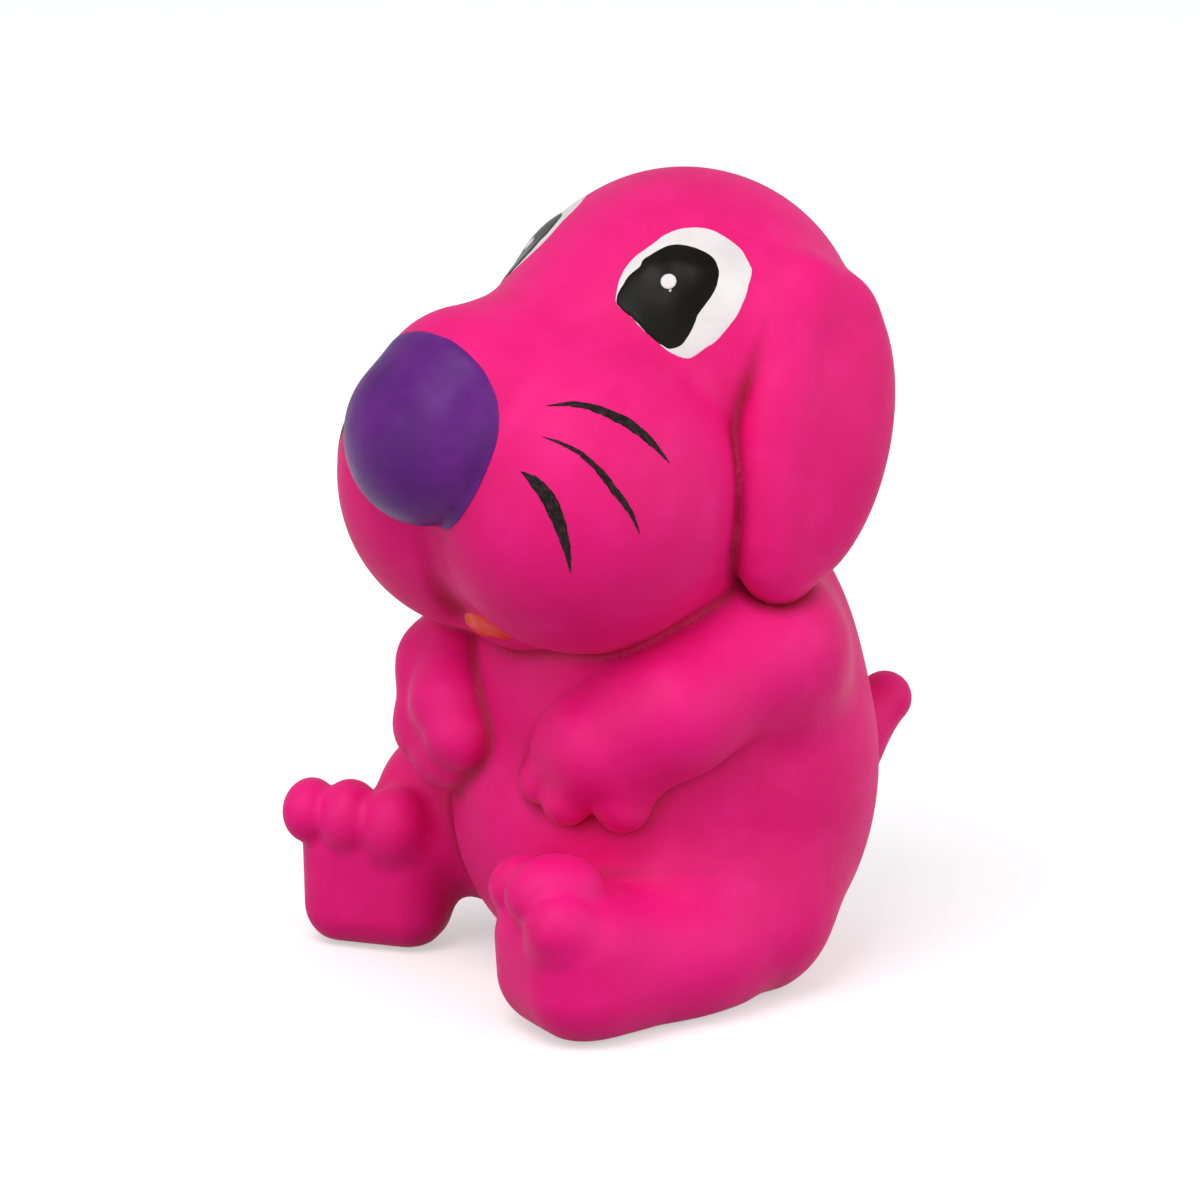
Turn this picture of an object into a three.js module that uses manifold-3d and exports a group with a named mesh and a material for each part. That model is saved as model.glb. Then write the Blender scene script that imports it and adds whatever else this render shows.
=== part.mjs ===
// A sitting toy dog of soft rubber, hollow and stuffed with wadding, with a squeaker in its seat
// Millimetres, +Z up; the dog faces -Y and its left side is +X
import * as THREE from "three";
import { mergeVertices } from "three/addons/utils/BufferGeometryUtils.js";
import Module from "manifold-3d";

const wasm = await Module();
wasm.setup();

// Body: trunk, chest, belly and breast above a flat seat
const BODY_WIDTH = 68;
const BODY_DEPTH = 62.8;
const BODY_HEIGHT = 83;

// Head: skull, brow, muzzle, jowls, cheeks and chin
const HEAD_RADIUS = 30;
const HEAD_OFFSET = 5.6;
const HEAD_TURN_DEGREES = 7;
const MUZZLE_LENGTH = 47;
const MUZZLE_RADIUS = 16.4;
const JOWL_RADIUS = 24;
const CHEEK_RADIUS = 15;
const CHIN_WIDTH = 26;

// Nose
const NOSE_WIDTH = 32.4;
const NOSE_DEPTH = 21.2;
const NOSE_HEIGHT = 31;

// Eyes: paint on the brow
const EYE_RADIUS = 10.9;
const GLINT_RADIUS = 1.6;

// Tongue
const TONGUE_WIDTH = 11;
const TONGUE_HEIGHT = 5;

// Whiskers: brushed strokes
const WHISKER_WIDTH = 2.2;

// Ears
const EAR_LENGTH = 53;
const EAR_WIDTH = 27;
const EAR_THICKNESS = 17;
const EAR_EDGE_RADIUS = 5;

// Arms
const SHOULDER_RADIUS = 12.5;
const ELBOW_RADIUS = 10.5;
const HAND_RADIUS = 8.5;
const UPPER_ARM_LENGTH = 23.9;
const FOREARM_LENGTH = 18.4;
const FINGER_RADIUS = 5.1;

// Legs and feet
const THIGH_RADIUS = 14;
const ANKLE_RADIUS = 12.5;
const LEG_LENGTH = 26.6;
const FOOT_WIDTH = 28.6;
const FOOT_DEPTH = 19;
const FOOT_HEIGHT = 24.6;
const FOOT_ROUNDING = 9.4;
const TOE_LENGTH = 16;
const TOE_WIDTH = 11.6;
const TOE_HEIGHT = 10.2;
const SOLE_CUT = 0.3;

// Tail
const TAIL_LENGTH = 15.8;
const TAIL_ROOT_RADIUS = 8;
const TAIL_TIP_RADIUS = 4.1;

// Rubber wall, paint film and running clearance
const WALL = 1.8;
const PAINT = 0.5;
const PAINT_REACH = 3;
const GAP = 0.3;
const NECK_OPENING_RADIUS = 12;

// Squeaker: tube with a flange behind the rubber, reed seat, strip and end disc
const SQUEAKER_RADIUS = 7;
const SQUEAKER_WALL = 1;
const SQUEAKER_HEIGHT = 10;
const SQUEAKER_RECESS = 0.5;
const FLANGE_RADIUS = 9.6;
const FLANGE_THICKNESS = 1.2;
const CAP_THICKNESS = 1.2;
const AIR_HOLE_RADIUS = 1.5;
const REED_LENGTH = 8.6;
const REED_WIDTH = 2.8;
const REED_THICKNESS = 0.4;
const REED_SEAT_THICKNESS = 1.2;
const REED_SEAT_HEIGHT = 5;
const REED_SLOT_WIDTH = 1.6;
const CLAMP_WIDTH = 2;
const CLAMP_THICKNESS = 0.9;
const OVERRUN = 20;

// Colours
const PINK = "#e3247c";
const PURPLE = "#5f2f86";
const WHITE = "#efeceb";
const BLACK = "#15140f";
const RED = "#d63a26";
const WADDING = "#f1ede4";
const PLASTIC = "#e9e6df";

// Fineness of the forms
const BODY_CELLS = 6;
const HEAD_CELLS = 8;
const INNER_CELLS = 4;
const NOSE_CELLS = 4;
const TONGUE_CELLS = 2;
const KNOB_CELLS = 2;
const EAR_GRAIN = { rows: 5, capRows: 3, columns: 16 };
const ARM_GRAIN = { rows: 8, capRows: 4, columns: 16 };
const LEG_GRAIN = { rows: 6, capRows: 5, columns: 20 };
const TAIL_GRAIN = { rows: 3, capRows: 4, columns: 12 };
const EYE_CELLS = 6;
const GLINT_CELLS = 3;
const WHISKER_CELLS = 7;
const MARCH_STEPS = 60;
const BISECTIONS = 26;
const ROUND_SIDES = 24;

// Places and radii of the body's lumps, in shares of its half width, half depth and height
const bodyShares = {
  trunk: { at: [0, 0.159, 0.398], radii: [1, 1, 0.506] },
  chest: { at: [0, 0.076, 0.699], radii: [0.824, 0.803, 0.301] },
  belly: { at: [0, -0.255, 0.349], radii: [0.824, 0.892, 0.361] },
  breast: { at: [0, -0.127, 0.627], radii: [0.853, 0.924, 0.265] },
  middle: [0, 0.15, 0.43],
  shoulder: [0.765, 0.159, 0.711],
  hip: [0.647, 0, 0],
  tail: [0, 1.051, 0.337],
  blend: 0.12,
  frontBlend: 0.096,
};

// Places and radii of the head's lumps: across and up in shares of the skull's radius,
// forward in shares of the muzzle's length
const headShares = {
  sunk: 0.743,
  skull: [0.993, 0.953, 0.963],
  bridgeStart: [0, -0.289, -0.123],
  bridgeEnd: [0, -0.992, -0.113],
  bridgeStartRadius: 1.268,
  jowl: [0.4, -0.683, -0.593],
  jowlRadii: [1, 1.083, 1.104],
  cheek: [0.6, -0.332, -0.843],
  cheekRadii: [1, 0.933, 1.1],
  brow: [0.44, -0.2, 0.243],
  browRadii: [1.128, 0.881, 1.303],
  chinRadii: [0.5, 0.385, 0.327],
  nose: [0.01, -1.196, -0.16],
  tongueRadii: [0.5, 0.3, 0.5],
  ear: [0.983, 0.051, -0.343],
  middle: [0, -0.421, -0.243],
  bridgeBlend: 0.4,
  jowlBlend: 0.167,
  cheekBlend: 0.2,
  browBlend: 0.1,
  chinBlend: 0.067,
};

// Chin and tongue below the jowls, in shares of the jowl's radii from the middle between the jowls
const mouthShares = {
  chin: [0, -0.136, -0.736],
  tongue: [0.056, -0.495, -0.827],
};
const browTilt = [22, 0, 33];
const noseTilt = [-6, 0, 0];
const earTilt = [-20, -6, 0];

// Ridge along the front edge of the ear from its top to its tip, in shares of the ear's half sizes
// from its middle
const earEdgeShares = [
  { at: [-0.27, 0, 0.943], radius: 0.8 },
  { at: [-0.035, -0.667, 0.566], radius: 0.92 },
  { at: [0.141, -0.889, 0.189], radius: 1 },
  { at: [0.2, -1, -0.302], radius: 1 },
  { at: [0.2, -1, -0.679], radius: 0.96 },
  { at: [0.153, -0.667, -0.811], radius: 0.92 },
];

// Middle of each eye in shares of the skull's radius, and the way it looks
const eyePlaceShares = [0.63, -0.543, 0.503];
const eyeFacingShares = [0.662, -0.461, 0.591];

// Outlines of eye and pupil in shares of the eye's radius, every 30 degrees from the eye's outer side
const eyeOutlineShares = [0.98, 1, 0.985, 1.04, 1.01, 0.985, 1.05, 1.06, 1.03, 1.08, 0.93, 0.92];
const pupilOutlineShares = [0.42, 0.58, 0.67, 0.72, 0.79, 0.83, 0.88, 0.87, 0.84, 0.8, 0.45, 0.36];
const glintPlaceShares = [-0.28, 0.1];

// Each whisker from its inner to its outer end, in shares of the jowl's radii
const whiskerShares = [
  [[0.367, -0.585, 0.725], [0.69, -0.26, 0.672], [0.93, -0.03, 0.366]],
  [[0.463, -0.688, 0.558], [0.842, -0.454, 0.29], [0.954, -0.296, -0.015]],
  [[0.425, -0.831, 0.362], [0.675, -0.731, 0.106], [0.704, -0.669, -0.234]],
];
const whiskerWidthShares = [0.8, 0.62, 1];

// Arm of each side: elbow from the shoulder in shares of the upper arm's length, hand from the elbow in
// shares of the forearm's, fingers from the hand in shares of its radius, their radii in shares of a finger's
const armShares = {
  left: {
    elbow: [0.159, -0.921, -0.356],
    elbowRadius: 1,
    hand: [-0.397, -0.571, -0.38],
    handRadius: 0.894,
    fingers: [
      { from: [-0.882, -0.412, -0.059], to: [-1.376, -0.835, -0.647], radii: [0.98, 0.804] },
      { from: [-0.176, -0.153, 0.059], to: [-0.424, -0.435, -0.894], radii: [0.98, 0.882] },
      { from: [0.588, 0.647, 0.059], to: [0.482, 0.4, -0.929], radii: [1.098, 1] },
    ],
  },
  right: {
    elbow: [-0.021, -1.004, -0.126],
    elbowRadius: 0.857,
    hand: [-0.364, -0.636, -0.174],
    handRadius: 0.941,
    fingers: [
      { from: [0, 0, 0], to: [-0.329, -0.271, -1.588], radii: [1.569, 1.529] },
      { from: [-0.212, 0.2, 0.376], to: [-0.835, -0.341, -0.624], radii: [1.275, 1.294] },
      { from: [-0.835, -0.341, -0.624], to: [-1.388, -0.388, -1.271], radii: [1.294, 1.176] },
    ],
  },
};
const armBlendShare = 0.38;

// Leg of each side, the right one with its knee up and its foot turned inwards: the way it points, its
// thigh and ankle; knee and heel from the ankle in shares of
// the leg's length, their sizes in shares of the ankle's and the thigh's radius. Foot and toes in
// shares of the foot's half sizes, toes from the outer one inwards
const legShares = {
  left: {
    way: [0.207, -0.978, -0.011],
    thigh: 1,
    ankle: 1,
    knee: { at: [-0.019, 0.226, 0.023], radii: [0.96, 0.96, 0.96] },
    heel: { at: [-0.124, 0.451, 0], half: [0.95, 1.393, 0.693], turn: 5 },
    foot: [-0.035, -1.063, 0],
    sole: [1, 1, 1],
    rounding: 1,
    tilt: [4, 0, -6],
    toes: [
      { at: [0.503, -0.642, 0.715], radii: [1.017, 0.712, 1.176] },
      { at: [0.126, -0.379, 1.057], radii: [1.172, 1.062, 1.255] },
      { at: [-0.587, -0.358, 0.943], radii: [0.845, 0.7, 1.02] },
    ],
  },
  right: {
    way: [0.278, -0.952, 0.131],
    thigh: 1.071,
    ankle: 0.68,
    knee: { at: [0.023, 0.199, 0.162], radii: [1.08, 1.24, 1.16] },
    heel: { at: [-0.241, 0.726, 0], half: [0.571, 0.571, 0.643], turn: 14 },
    foot: [0.272, -1.238, 0],
    sole: [0.874, 0.842, 1],
    rounding: 0.745,
    tilt: [4, 0, -37],
    toes: [
      { at: [0.44, -1.225, 0.919], radii: [0.793, 0.725, 1.078] },
      { at: [-0.024, -0.713, 0.886], radii: [0.914, 0.775, 1.255] },
      { at: [-0.576, -0.1, 0.829], radii: [1, 0.8, 1.373] },
    ],
  },
};
const heelRoundingShare = 0.745;
const footBlendShare = 0.32;

// Tail: the way it points
const tailShares = [0, 0.773, 0.634];

const radians = THREE.MathUtils.degToRad;
const vector = (numbers) => new THREE.Vector3(...numbers);
const scaled = (shares, sizes) => vector(shares).multiply(sizes);

// Fields: signed distance of a point to a lump, negative inside
function turnBack(tilt) {
  const euler = new THREE.Euler(...tilt.map(radians), "ZYX");
  return new THREE.Matrix4().makeRotationFromEuler(euler).invert();
}

function lump(middle, radii, tilt = [0, 0, 0]) {
  const back = turnBack(tilt);
  const squared = radii.clone().multiply(radii);
  return (point) => {
    const local = point.clone().sub(middle).applyMatrix4(back);
    const reach = local.clone().divide(radii).length();
    const slope = Math.max(local.divide(squared).length(), Number.EPSILON);
    return (reach * (reach - 1)) / slope;
  };
}

function taper(start, end, startRadius, endRadius) {
  const axis = end.clone().sub(start);
  return (point) => {
    const along = point.clone().sub(start);
    const share = THREE.MathUtils.clamp(along.dot(axis) / axis.lengthSq(), 0, 1);
    const radius = startRadius + (endRadius - startRadius) * share;
    return along.addScaledVector(axis, -share).length() - radius;
  };
}

function block(middle, half, rounding, tilt = [0, 0, 0]) {
  const back = turnBack(tilt);
  const round = Math.min(rounding, half.x, half.y, half.z);
  const core = half.clone().subScalar(round);
  return (point) => {
    const local = point.clone().sub(middle).applyMatrix4(back);
    local.set(Math.abs(local.x), Math.abs(local.y), Math.abs(local.z)).sub(core);
    const inside = Math.min(Math.max(local.x, local.y, local.z), 0);
    return local.max(new THREE.Vector3()).length() + inside - round;
  };
}

// One field blended from several over the given width
function blended(width, ...fields) {
  return (point) => {
    const distances = fields.map((field) => field(point));
    return distances.reduce((a, b) => {
      const near = Math.max(width - Math.abs(a - b), 0) / width;
      return Math.min(a, b) - (near * near * width) / 4;
    });
  };
}

const sideOf = (side) => (field) => (point) => field(point.clone().setX(side * point.x));
const mirrorTo = (side) => (place) => place.clone().setX(side * place.x);
const bothSides = (width, base, field) => blended(width, base, field, sideOf(-1)(field));

// Head's own frame, turned about the upright axis
const headTurn = new THREE.Matrix4().makeRotationZ(radians(HEAD_TURN_DEGREES));
const headTurnBack = headTurn.clone().invert();
const onHead = (field) => (point) => field(point.clone().applyMatrix4(headTurnBack));
const headPoint = (point) => point.clone().applyMatrix4(headTurn);

// Distance from an origin inside a form to its surface at a level, along a direction:
// the first surface met on the way out, or the outermost one
function reachOf(form, origin, direction, level, outermost) {
  const at = (distance) => form.field(origin.clone().addScaledVector(direction, distance)) - level;
  const step = form.reach / MARCH_STEPS;
  let outer = outermost ? form.reach : step;
  while (outermost && outer > step && at(outer - step) > 0) {
    outer -= step;
  }
  while (!outermost && outer < form.reach && at(outer) < 0) {
    outer += step;
  }
  let inner = outer - step;
  for (let i = 0; i < BISECTIONS; i++) {
    const half = (inner + outer) / 2;
    if (at(half) > 0) {
      outer = half;
    } else {
      inner = half;
    }
  }
  return outer;
}

// Manifold solids from three.js geometry, and back
function solidOf(geometry) {
  const bare = geometry.clone();
  for (const name of Object.keys(bare.attributes)) {
    if (name !== "position") {
      bare.deleteAttribute(name);
    }
  }
  const merged = mergeVertices(bare);
  return new wasm.Manifold(new wasm.Mesh({
    numProp: 3,
    vertProperties: new Float32Array(merged.attributes.position.array),
    triVerts: new Uint32Array(merged.index.array),
  }));
}

// Solid from points and triangles, turned so that its faces point out
function closedSolid(points, triangles) {
  const volume = triangles.reduce((sum, _, i) => {
    if (i % 3) return sum;
    const [a, b, c] = [0, 1, 2].map((k) => points[triangles[i + k]]);
    return sum + a.dot(b.clone().cross(c));
  }, 0);
  const geometry = new THREE.BufferGeometry().setFromPoints(points);
  geometry.setIndex(volume > 0 ? triangles : [...triangles].reverse());
  return solidOf(geometry);
}

// Closed surface of a long form: directions fanned round its spine and over both ends
function limbAt(form, level) {
  const { rows, capRows, columns } = form.grain;
  const curve = new THREE.CatmullRomCurve3(form.spine);
  const frames = curve.computeFrenetFrames(rows, false);
  const total = rows + 2 * capRows;
  const points = [];
  for (let row = 0; row <= total; row++) {
    const station = THREE.MathUtils.clamp(row - capRows, 0, rows);
    const tilt = ((row - capRows - station) / capRows) * (Math.PI / 2);
    const origin = curve.getPointAt(station / rows);
    const around = row === 0 || row === total ? 1 : columns;
    for (let column = 0; column < around; column++) {
      const angle = (2 * Math.PI * column) / columns;
      const direction = frames.tangents[station].clone().multiplyScalar(Math.sin(tilt));
      direction.addScaledVector(frames.normals[station], Math.cos(tilt) * Math.cos(angle));
      direction.addScaledVector(frames.binormals[station], Math.cos(tilt) * Math.sin(angle));
      direction.normalize();
      points.push(origin.clone().addScaledVector(direction, reachOf(form, origin, direction, level, false)));
    }
  }
  const at = (row, column) => {
    if (row === 0) return 0;
    return row === total ? points.length - 1 : 1 + (row - 1) * columns + (column % columns);
  };
  const triangles = [];
  for (let row = 0; row < total; row++) {
    for (let column = 0; column < columns; column++) {
      const [a, b] = [at(row, column), at(row, column + 1)];
      const [c, d] = [at(row + 1, column + 1), at(row + 1, column)];
      if (row > 0) triangles.push(a, b, c);
      if (row < total - 1) triangles.push(a, c, d);
    }
  }
  const limb = closedSolid(points, triangles);
  return (form.knobs ?? []).reduce((sum, part) => sum.add(formAt(part, level)), limb);
}

// Closed surface of a form at a level: a sphere of directions pushed out to the field
function formAt(form, level = 0, cells = form.cells) {
  if (form.spine) {
    return limbAt(form, level);
  }
  const sphere = new THREE.IcosahedronGeometry(1, cells);
  sphere.deleteAttribute("normal");
  sphere.deleteAttribute("uv");
  const shape = mergeVertices(sphere);
  const places = shape.attributes.position;
  for (let i = 0; i < places.count; i++) {
    const direction = new THREE.Vector3().fromBufferAttribute(places, i);
    direction.multiply(form.stretch).normalize();
    const distance = reachOf(form, form.middle, direction, level, true);
    const place = form.middle.clone().addScaledVector(direction, distance);
    places.setXYZ(i, place.x, place.y, place.z);
  }
  return solidOf(shape);
}

const cut = (solid, ...cutters) => cutters.reduce((rest, cutter) => rest.subtract(cutter), solid);

// Slab that takes away all that lies below a height
function below(height) {
  const span = BODY_WIDTH + BODY_DEPTH + MUZZLE_LENGTH + EAR_THICKNESS + OVERRUN;
  const slab = new THREE.BoxGeometry(span, span, span);
  return solidOf(slab.translate(0, 0, height - span / 2));
}

function cylinder(radius, bottom, top) {
  const shape = new THREE.CylinderGeometry(radius, radius, top - bottom, ROUND_SIDES);
  return solidOf(shape.rotateX(Math.PI / 2).translate(0, 0, (bottom + top) / 2));
}

function box(width, depth, height, x, y, bottom) {
  return solidOf(new THREE.BoxGeometry(width, depth, height).translate(x, y, bottom + height / 2));
}

// Largest body of a solid as geometry, without the crumbs that a cut may leave
function largestBody(solid) {
  const { vertProperties, triVerts } = solid.getMesh();
  const parent = Array.from({ length: vertProperties.length / 3 }, (_, i) => i);
  const root = (i) => {
    while (parent[i] !== i) {
      parent[i] = parent[parent[i]];
      i = parent[i];
    }
    return i;
  };
  for (let i = 0; i < triVerts.length; i += 3) {
    parent[root(triVerts[i + 1])] = root(triVerts[i]);
    parent[root(triVerts[i + 2])] = root(triVerts[i]);
  }
  const bodies = new Map();
  for (let i = 0; i < triVerts.length; i += 3) {
    const key = root(triVerts[i]);
    bodies.set(key, [...(bodies.get(key) ?? []), triVerts[i], triVerts[i + 1], triVerts[i + 2]]);
  }
  const indices = [...bodies.values()].sort((a, b) => b.length - a.length)[0];
  const geometry = new THREE.BufferGeometry();
  geometry.setAttribute("position", new THREE.BufferAttribute(new Float32Array(vertProperties), 3));
  geometry.setIndex(indices);
  const flat = geometry.toNonIndexed();
  return mergeVertices(flat);
}

// Body form
const bodySizes = new THREE.Vector3(BODY_WIDTH / 2, BODY_DEPTH / 2, BODY_HEIGHT);
const evenly = (size) => new THREE.Vector3(size, size, size);
const bodyLump = (shares) => lump(scaled(shares.at, bodySizes), scaled(shares.radii, bodySizes));
const body = {
  field: blended(
    bodyShares.frontBlend * BODY_HEIGHT,
    blended(bodyShares.blend * BODY_HEIGHT, bodyLump(bodyShares.trunk), bodyLump(bodyShares.chest)),
    bodyLump(bodyShares.belly),
    bodyLump(bodyShares.breast),
  ),
  middle: scaled(bodyShares.middle, bodySizes),
  stretch: evenly(1),
  reach: BODY_WIDTH + BODY_DEPTH,
  cells: BODY_CELLS,
};

// Head form, in shares from the middle of the skull
const skullMiddle = new THREE.Vector3(0, HEAD_OFFSET, BODY_HEIGHT + headShares.sunk * HEAD_RADIUS);
const headSizes = new THREE.Vector3(HEAD_RADIUS, MUZZLE_LENGTH, HEAD_RADIUS);
const faceAt = (shares) => scaled(shares, headSizes).add(skullMiddle);
const jowlSizes = scaled(headShares.jowlRadii, evenly(JOWL_RADIUS));
const jowlMiddle = faceAt(headShares.jowl);
const mouthAt = (shares) => scaled(shares, jowlSizes).add(jowlMiddle.clone().setX(0));
const bridge = taper(
  faceAt(headShares.bridgeStart),
  faceAt(headShares.bridgeEnd),
  headShares.bridgeStartRadius * MUZZLE_RADIUS,
  MUZZLE_RADIUS,
);
const jowl = lump(jowlMiddle, jowlSizes);
const cheek = lump(faceAt(headShares.cheek), scaled(headShares.cheekRadii, evenly(CHEEK_RADIUS)));
const brow = lump(faceAt(headShares.brow), scaled(headShares.browRadii, evenly(EYE_RADIUS)), browTilt);
const chin = lump(mouthAt(mouthShares.chin), scaled(headShares.chinRadii, evenly(CHIN_WIDTH)));
const skull = lump(skullMiddle, scaled(headShares.skull, evenly(HEAD_RADIUS)));
const skullAndBridge = blended(headShares.bridgeBlend * HEAD_RADIUS, skull, bridge);
const withJowls = bothSides(headShares.jowlBlend * HEAD_RADIUS, skullAndBridge, jowl);
const withCheeks = bothSides(headShares.cheekBlend * HEAD_RADIUS, withJowls, cheek);
const withBrows = bothSides(headShares.browBlend * HEAD_RADIUS, withCheeks, brow);
const head = {
  field: onHead(blended(headShares.chinBlend * HEAD_RADIUS, withBrows, chin)),
  middle: headPoint(faceAt(headShares.middle)),
  stretch: evenly(1),
  reach: 2 * (HEAD_RADIUS + MUZZLE_LENGTH),
  cells: HEAD_CELLS,
};

// Toe that stands out of a foot of one side
function toeOf(side, place, radii, turn) {
  const reach = 2 * Math.max(radii.x, radii.y, radii.z);
  const field = sideOf(side)(lump(place, radii, [0, 0, turn]));
  return { field, middle: mirrorTo(side)(place), stretch: radii, reach, cells: KNOB_CELLS };
}

// Long knob between two places of a limb
function finger(from, to, radii) {
  const middle = from.clone().add(to).divideScalar(2);
  const reach = from.distanceTo(to) + 2 * Math.max(...radii);
  return { field: taper(from, to, ...radii), middle, stretch: evenly(1), reach, cells: KNOB_CELLS };
}

// Arm and leg forms of one side
function armOf(side, shares) {
  const sided = mirrorTo(side);
  const shoulder = scaled(bodyShares.shoulder, bodySizes);
  const elbow = scaled(shares.elbow, evenly(UPPER_ARM_LENGTH)).add(shoulder);
  const hand = scaled(shares.hand, evenly(FOREARM_LENGTH)).add(elbow);
  const elbowRadius = ELBOW_RADIUS * shares.elbowRadius;
  const upper = taper(shoulder, elbow, SHOULDER_RADIUS, elbowRadius);
  const lower = taper(elbow, hand, elbowRadius, HAND_RADIUS * shares.handRadius);
  const fingers = shares.fingers.map(({ from, to, radii }) => {
    const ends = [from, to].map((place) => sided(scaled(place, evenly(HAND_RADIUS)).add(hand)));
    return finger(...ends, radii.map((radius) => radius * FINGER_RADIUS));
  });
  return {
    field: sideOf(side)(blended(armBlendShare * ELBOW_RADIUS, upper, lower)),
    knobs: fingers,
    spine: [shoulder, elbow, hand].map(sided),
    reach: UPPER_ARM_LENGTH + FOREARM_LENGTH,
    grain: ARM_GRAIN,
  };
}

function legOf(side, shares) {
  const sided = mirrorTo(side);
  const thighRadius = THIGH_RADIUS * shares.thigh;
  const hip = scaled(bodyShares.hip, bodySizes).setZ(thighRadius - SOLE_CUT);
  const ankle = vector(shares.way).setLength(LEG_LENGTH).add(hip);
  const half = new THREE.Vector3(FOOT_WIDTH, FOOT_DEPTH, FOOT_HEIGHT).divideScalar(2);
  half.multiply(vector(shares.sole));
  const foot = scaled(shares.foot, half).add(ankle).setZ(half.z - SOLE_CUT);
  const leg = taper(hip, ankle, thighRadius, ANKLE_RADIUS * shares.ankle);
  const kneeMiddle = scaled(shares.knee.at, evenly(LEG_LENGTH)).add(ankle);
  const knee = lump(kneeMiddle, scaled(shares.knee.radii, evenly(ANKLE_RADIUS)));
  const heelHalf = scaled(shares.heel.half, evenly(THIGH_RADIUS));
  const heelMiddle = scaled(shares.heel.at, evenly(LEG_LENGTH)).add(ankle).setZ(heelHalf.z - SOLE_CUT);
  const heel = block(heelMiddle, heelHalf, heelRoundingShare * FOOT_ROUNDING, [0, 0, shares.heel.turn]);
  const sole = block(foot, half, shares.rounding * FOOT_ROUNDING, shares.tilt);
  const toeSizes = new THREE.Vector3(TOE_WIDTH, TOE_LENGTH, TOE_HEIGHT).divideScalar(2);
  const toes = shares.toes.map((toe) => {
    const place = scaled(toe.at, half).add(foot);
    return toeOf(side, place, scaled(toe.radii, toeSizes), shares.tilt[2]);
  });
  return {
    field: sideOf(side)(blended(footBlendShare * FOOT_ROUNDING, leg, knee, heel, sole)),
    knobs: toes,
    spine: [hip, ankle, foot].map(sided),
    reach: LEG_LENGTH + FOOT_WIDTH,
    grain: LEG_GRAIN,
  };
}

function earOf(side) {
  const sided = mirrorTo(side);
  const middle = faceAt(headShares.ear);
  const radii = new THREE.Vector3(EAR_THICKNESS, EAR_WIDTH, EAR_LENGTH).divideScalar(2);
  const flap = lump(middle, radii, earTilt);
  const edge = earEdgeShares.slice(1).map((end, index) => {
    const start = earEdgeShares[index];
    const ends = [start, end].map(({ at }) => scaled(at, radii).add(middle));
    return taper(...ends, start.radius * EAR_EDGE_RADIUS, end.radius * EAR_EDGE_RADIUS);
  });
  const ridge = (point) => Math.min(...edge.map((field) => field(point)));
  const down = new THREE.Vector3(0, 0, EAR_WIDTH - EAR_LENGTH).divideScalar(2);
  down.applyMatrix4(turnBack(earTilt).invert());
  const ends = [middle.clone().sub(down), middle.clone().add(down)];
  return {
    field: onHead(sideOf(side)(blended(EAR_EDGE_RADIUS, flap, ridge))),
    spine: ends.map((place) => headPoint(sided(place))),
    reach: EAR_LENGTH,
    grain: EAR_GRAIN,
  };
}

const tailRoot = scaled(bodyShares.tail, bodySizes);
const tailTip = vector(tailShares).setLength(TAIL_LENGTH).add(tailRoot);
const tail = {
  field: taper(tailRoot, tailTip, TAIL_ROOT_RADIUS, TAIL_TIP_RADIUS),
  spine: [tailRoot, tailTip],
  reach: 2 * TAIL_LENGTH,
  grain: TAIL_GRAIN,
};

const noseMiddle = faceAt(headShares.nose);
const noseRadii = new THREE.Vector3(NOSE_WIDTH, NOSE_DEPTH, NOSE_HEIGHT).divideScalar(2);
const nose = {
  field: onHead(lump(noseMiddle, noseRadii, noseTilt)),
  middle: headPoint(noseMiddle),
  stretch: evenly(1),
  reach: NOSE_WIDTH,
  cells: NOSE_CELLS,
};

const tongueMiddle = mouthAt(mouthShares.tongue);
const tongueSizes = new THREE.Vector3(TONGUE_WIDTH, TONGUE_WIDTH, TONGUE_HEIGHT);
const tongue = {
  field: onHead(lump(tongueMiddle, scaled(headShares.tongueRadii, tongueSizes))),
  middle: headPoint(tongueMiddle),
  stretch: evenly(1),
  reach: TONGUE_WIDTH,
  cells: TONGUE_CELLS,
};

// Patch through the head between two levels; place gives a point near it for s and t in -1 to 1
function film(place, low, high, alongCount, acrossCount) {
  const layers = [high, low].map((level) => {
    const points = [];
    for (let i = 0; i <= alongCount; i++) {
      for (let j = 0; j <= acrossCount; j++) {
        const near = headPoint(place((2 * i) / alongCount - 1, (2 * j) / acrossCount - 1));
        const direction = near.sub(head.middle).normalize();
        const distance = reachOf(head, head.middle, direction, level, true);
        points.push(head.middle.clone().addScaledVector(direction, distance));
      }
    }
    return points;
  });
  const row = acrossCount + 1;
  const under = layers[0].length;
  const quads = [];
  for (let i = 0; i < alongCount; i++) {
    for (let j = 0; j < acrossCount; j++) {
      const at = i * row + j;
      quads.push([at, at + row, at + row + 1, at + 1]);
      quads.push([under + at, under + at + 1, under + at + row + 1, under + at + row]);
    }
  }
  const rim = [];
  for (let i = 0; i < alongCount; i++) rim.push(i * row);
  for (let j = 0; j < acrossCount; j++) rim.push(alongCount * row + j);
  for (let i = alongCount; i > 0; i--) rim.push(i * row + acrossCount);
  for (let j = acrossCount; j > 0; j--) rim.push(j);
  rim.forEach((at, index) => {
    const next = rim[(index + 1) % rim.length];
    quads.push([next, at, under + at, under + next]);
  });
  const triangles = quads.flatMap(([a, b, c, d]) => [a, b, c, a, c, d]);
  return closedSolid(layers.flat(), triangles);
}

// Paint on a patch: the layer between the grown head and a slightly larger one
function paint(place, alongCount, acrossCount) {
  const patch = film(place, -PAINT_REACH, PAINT_REACH, alongCount, acrossCount);
  return patch.intersect(headPainted).subtract(headGrown);
}

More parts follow.
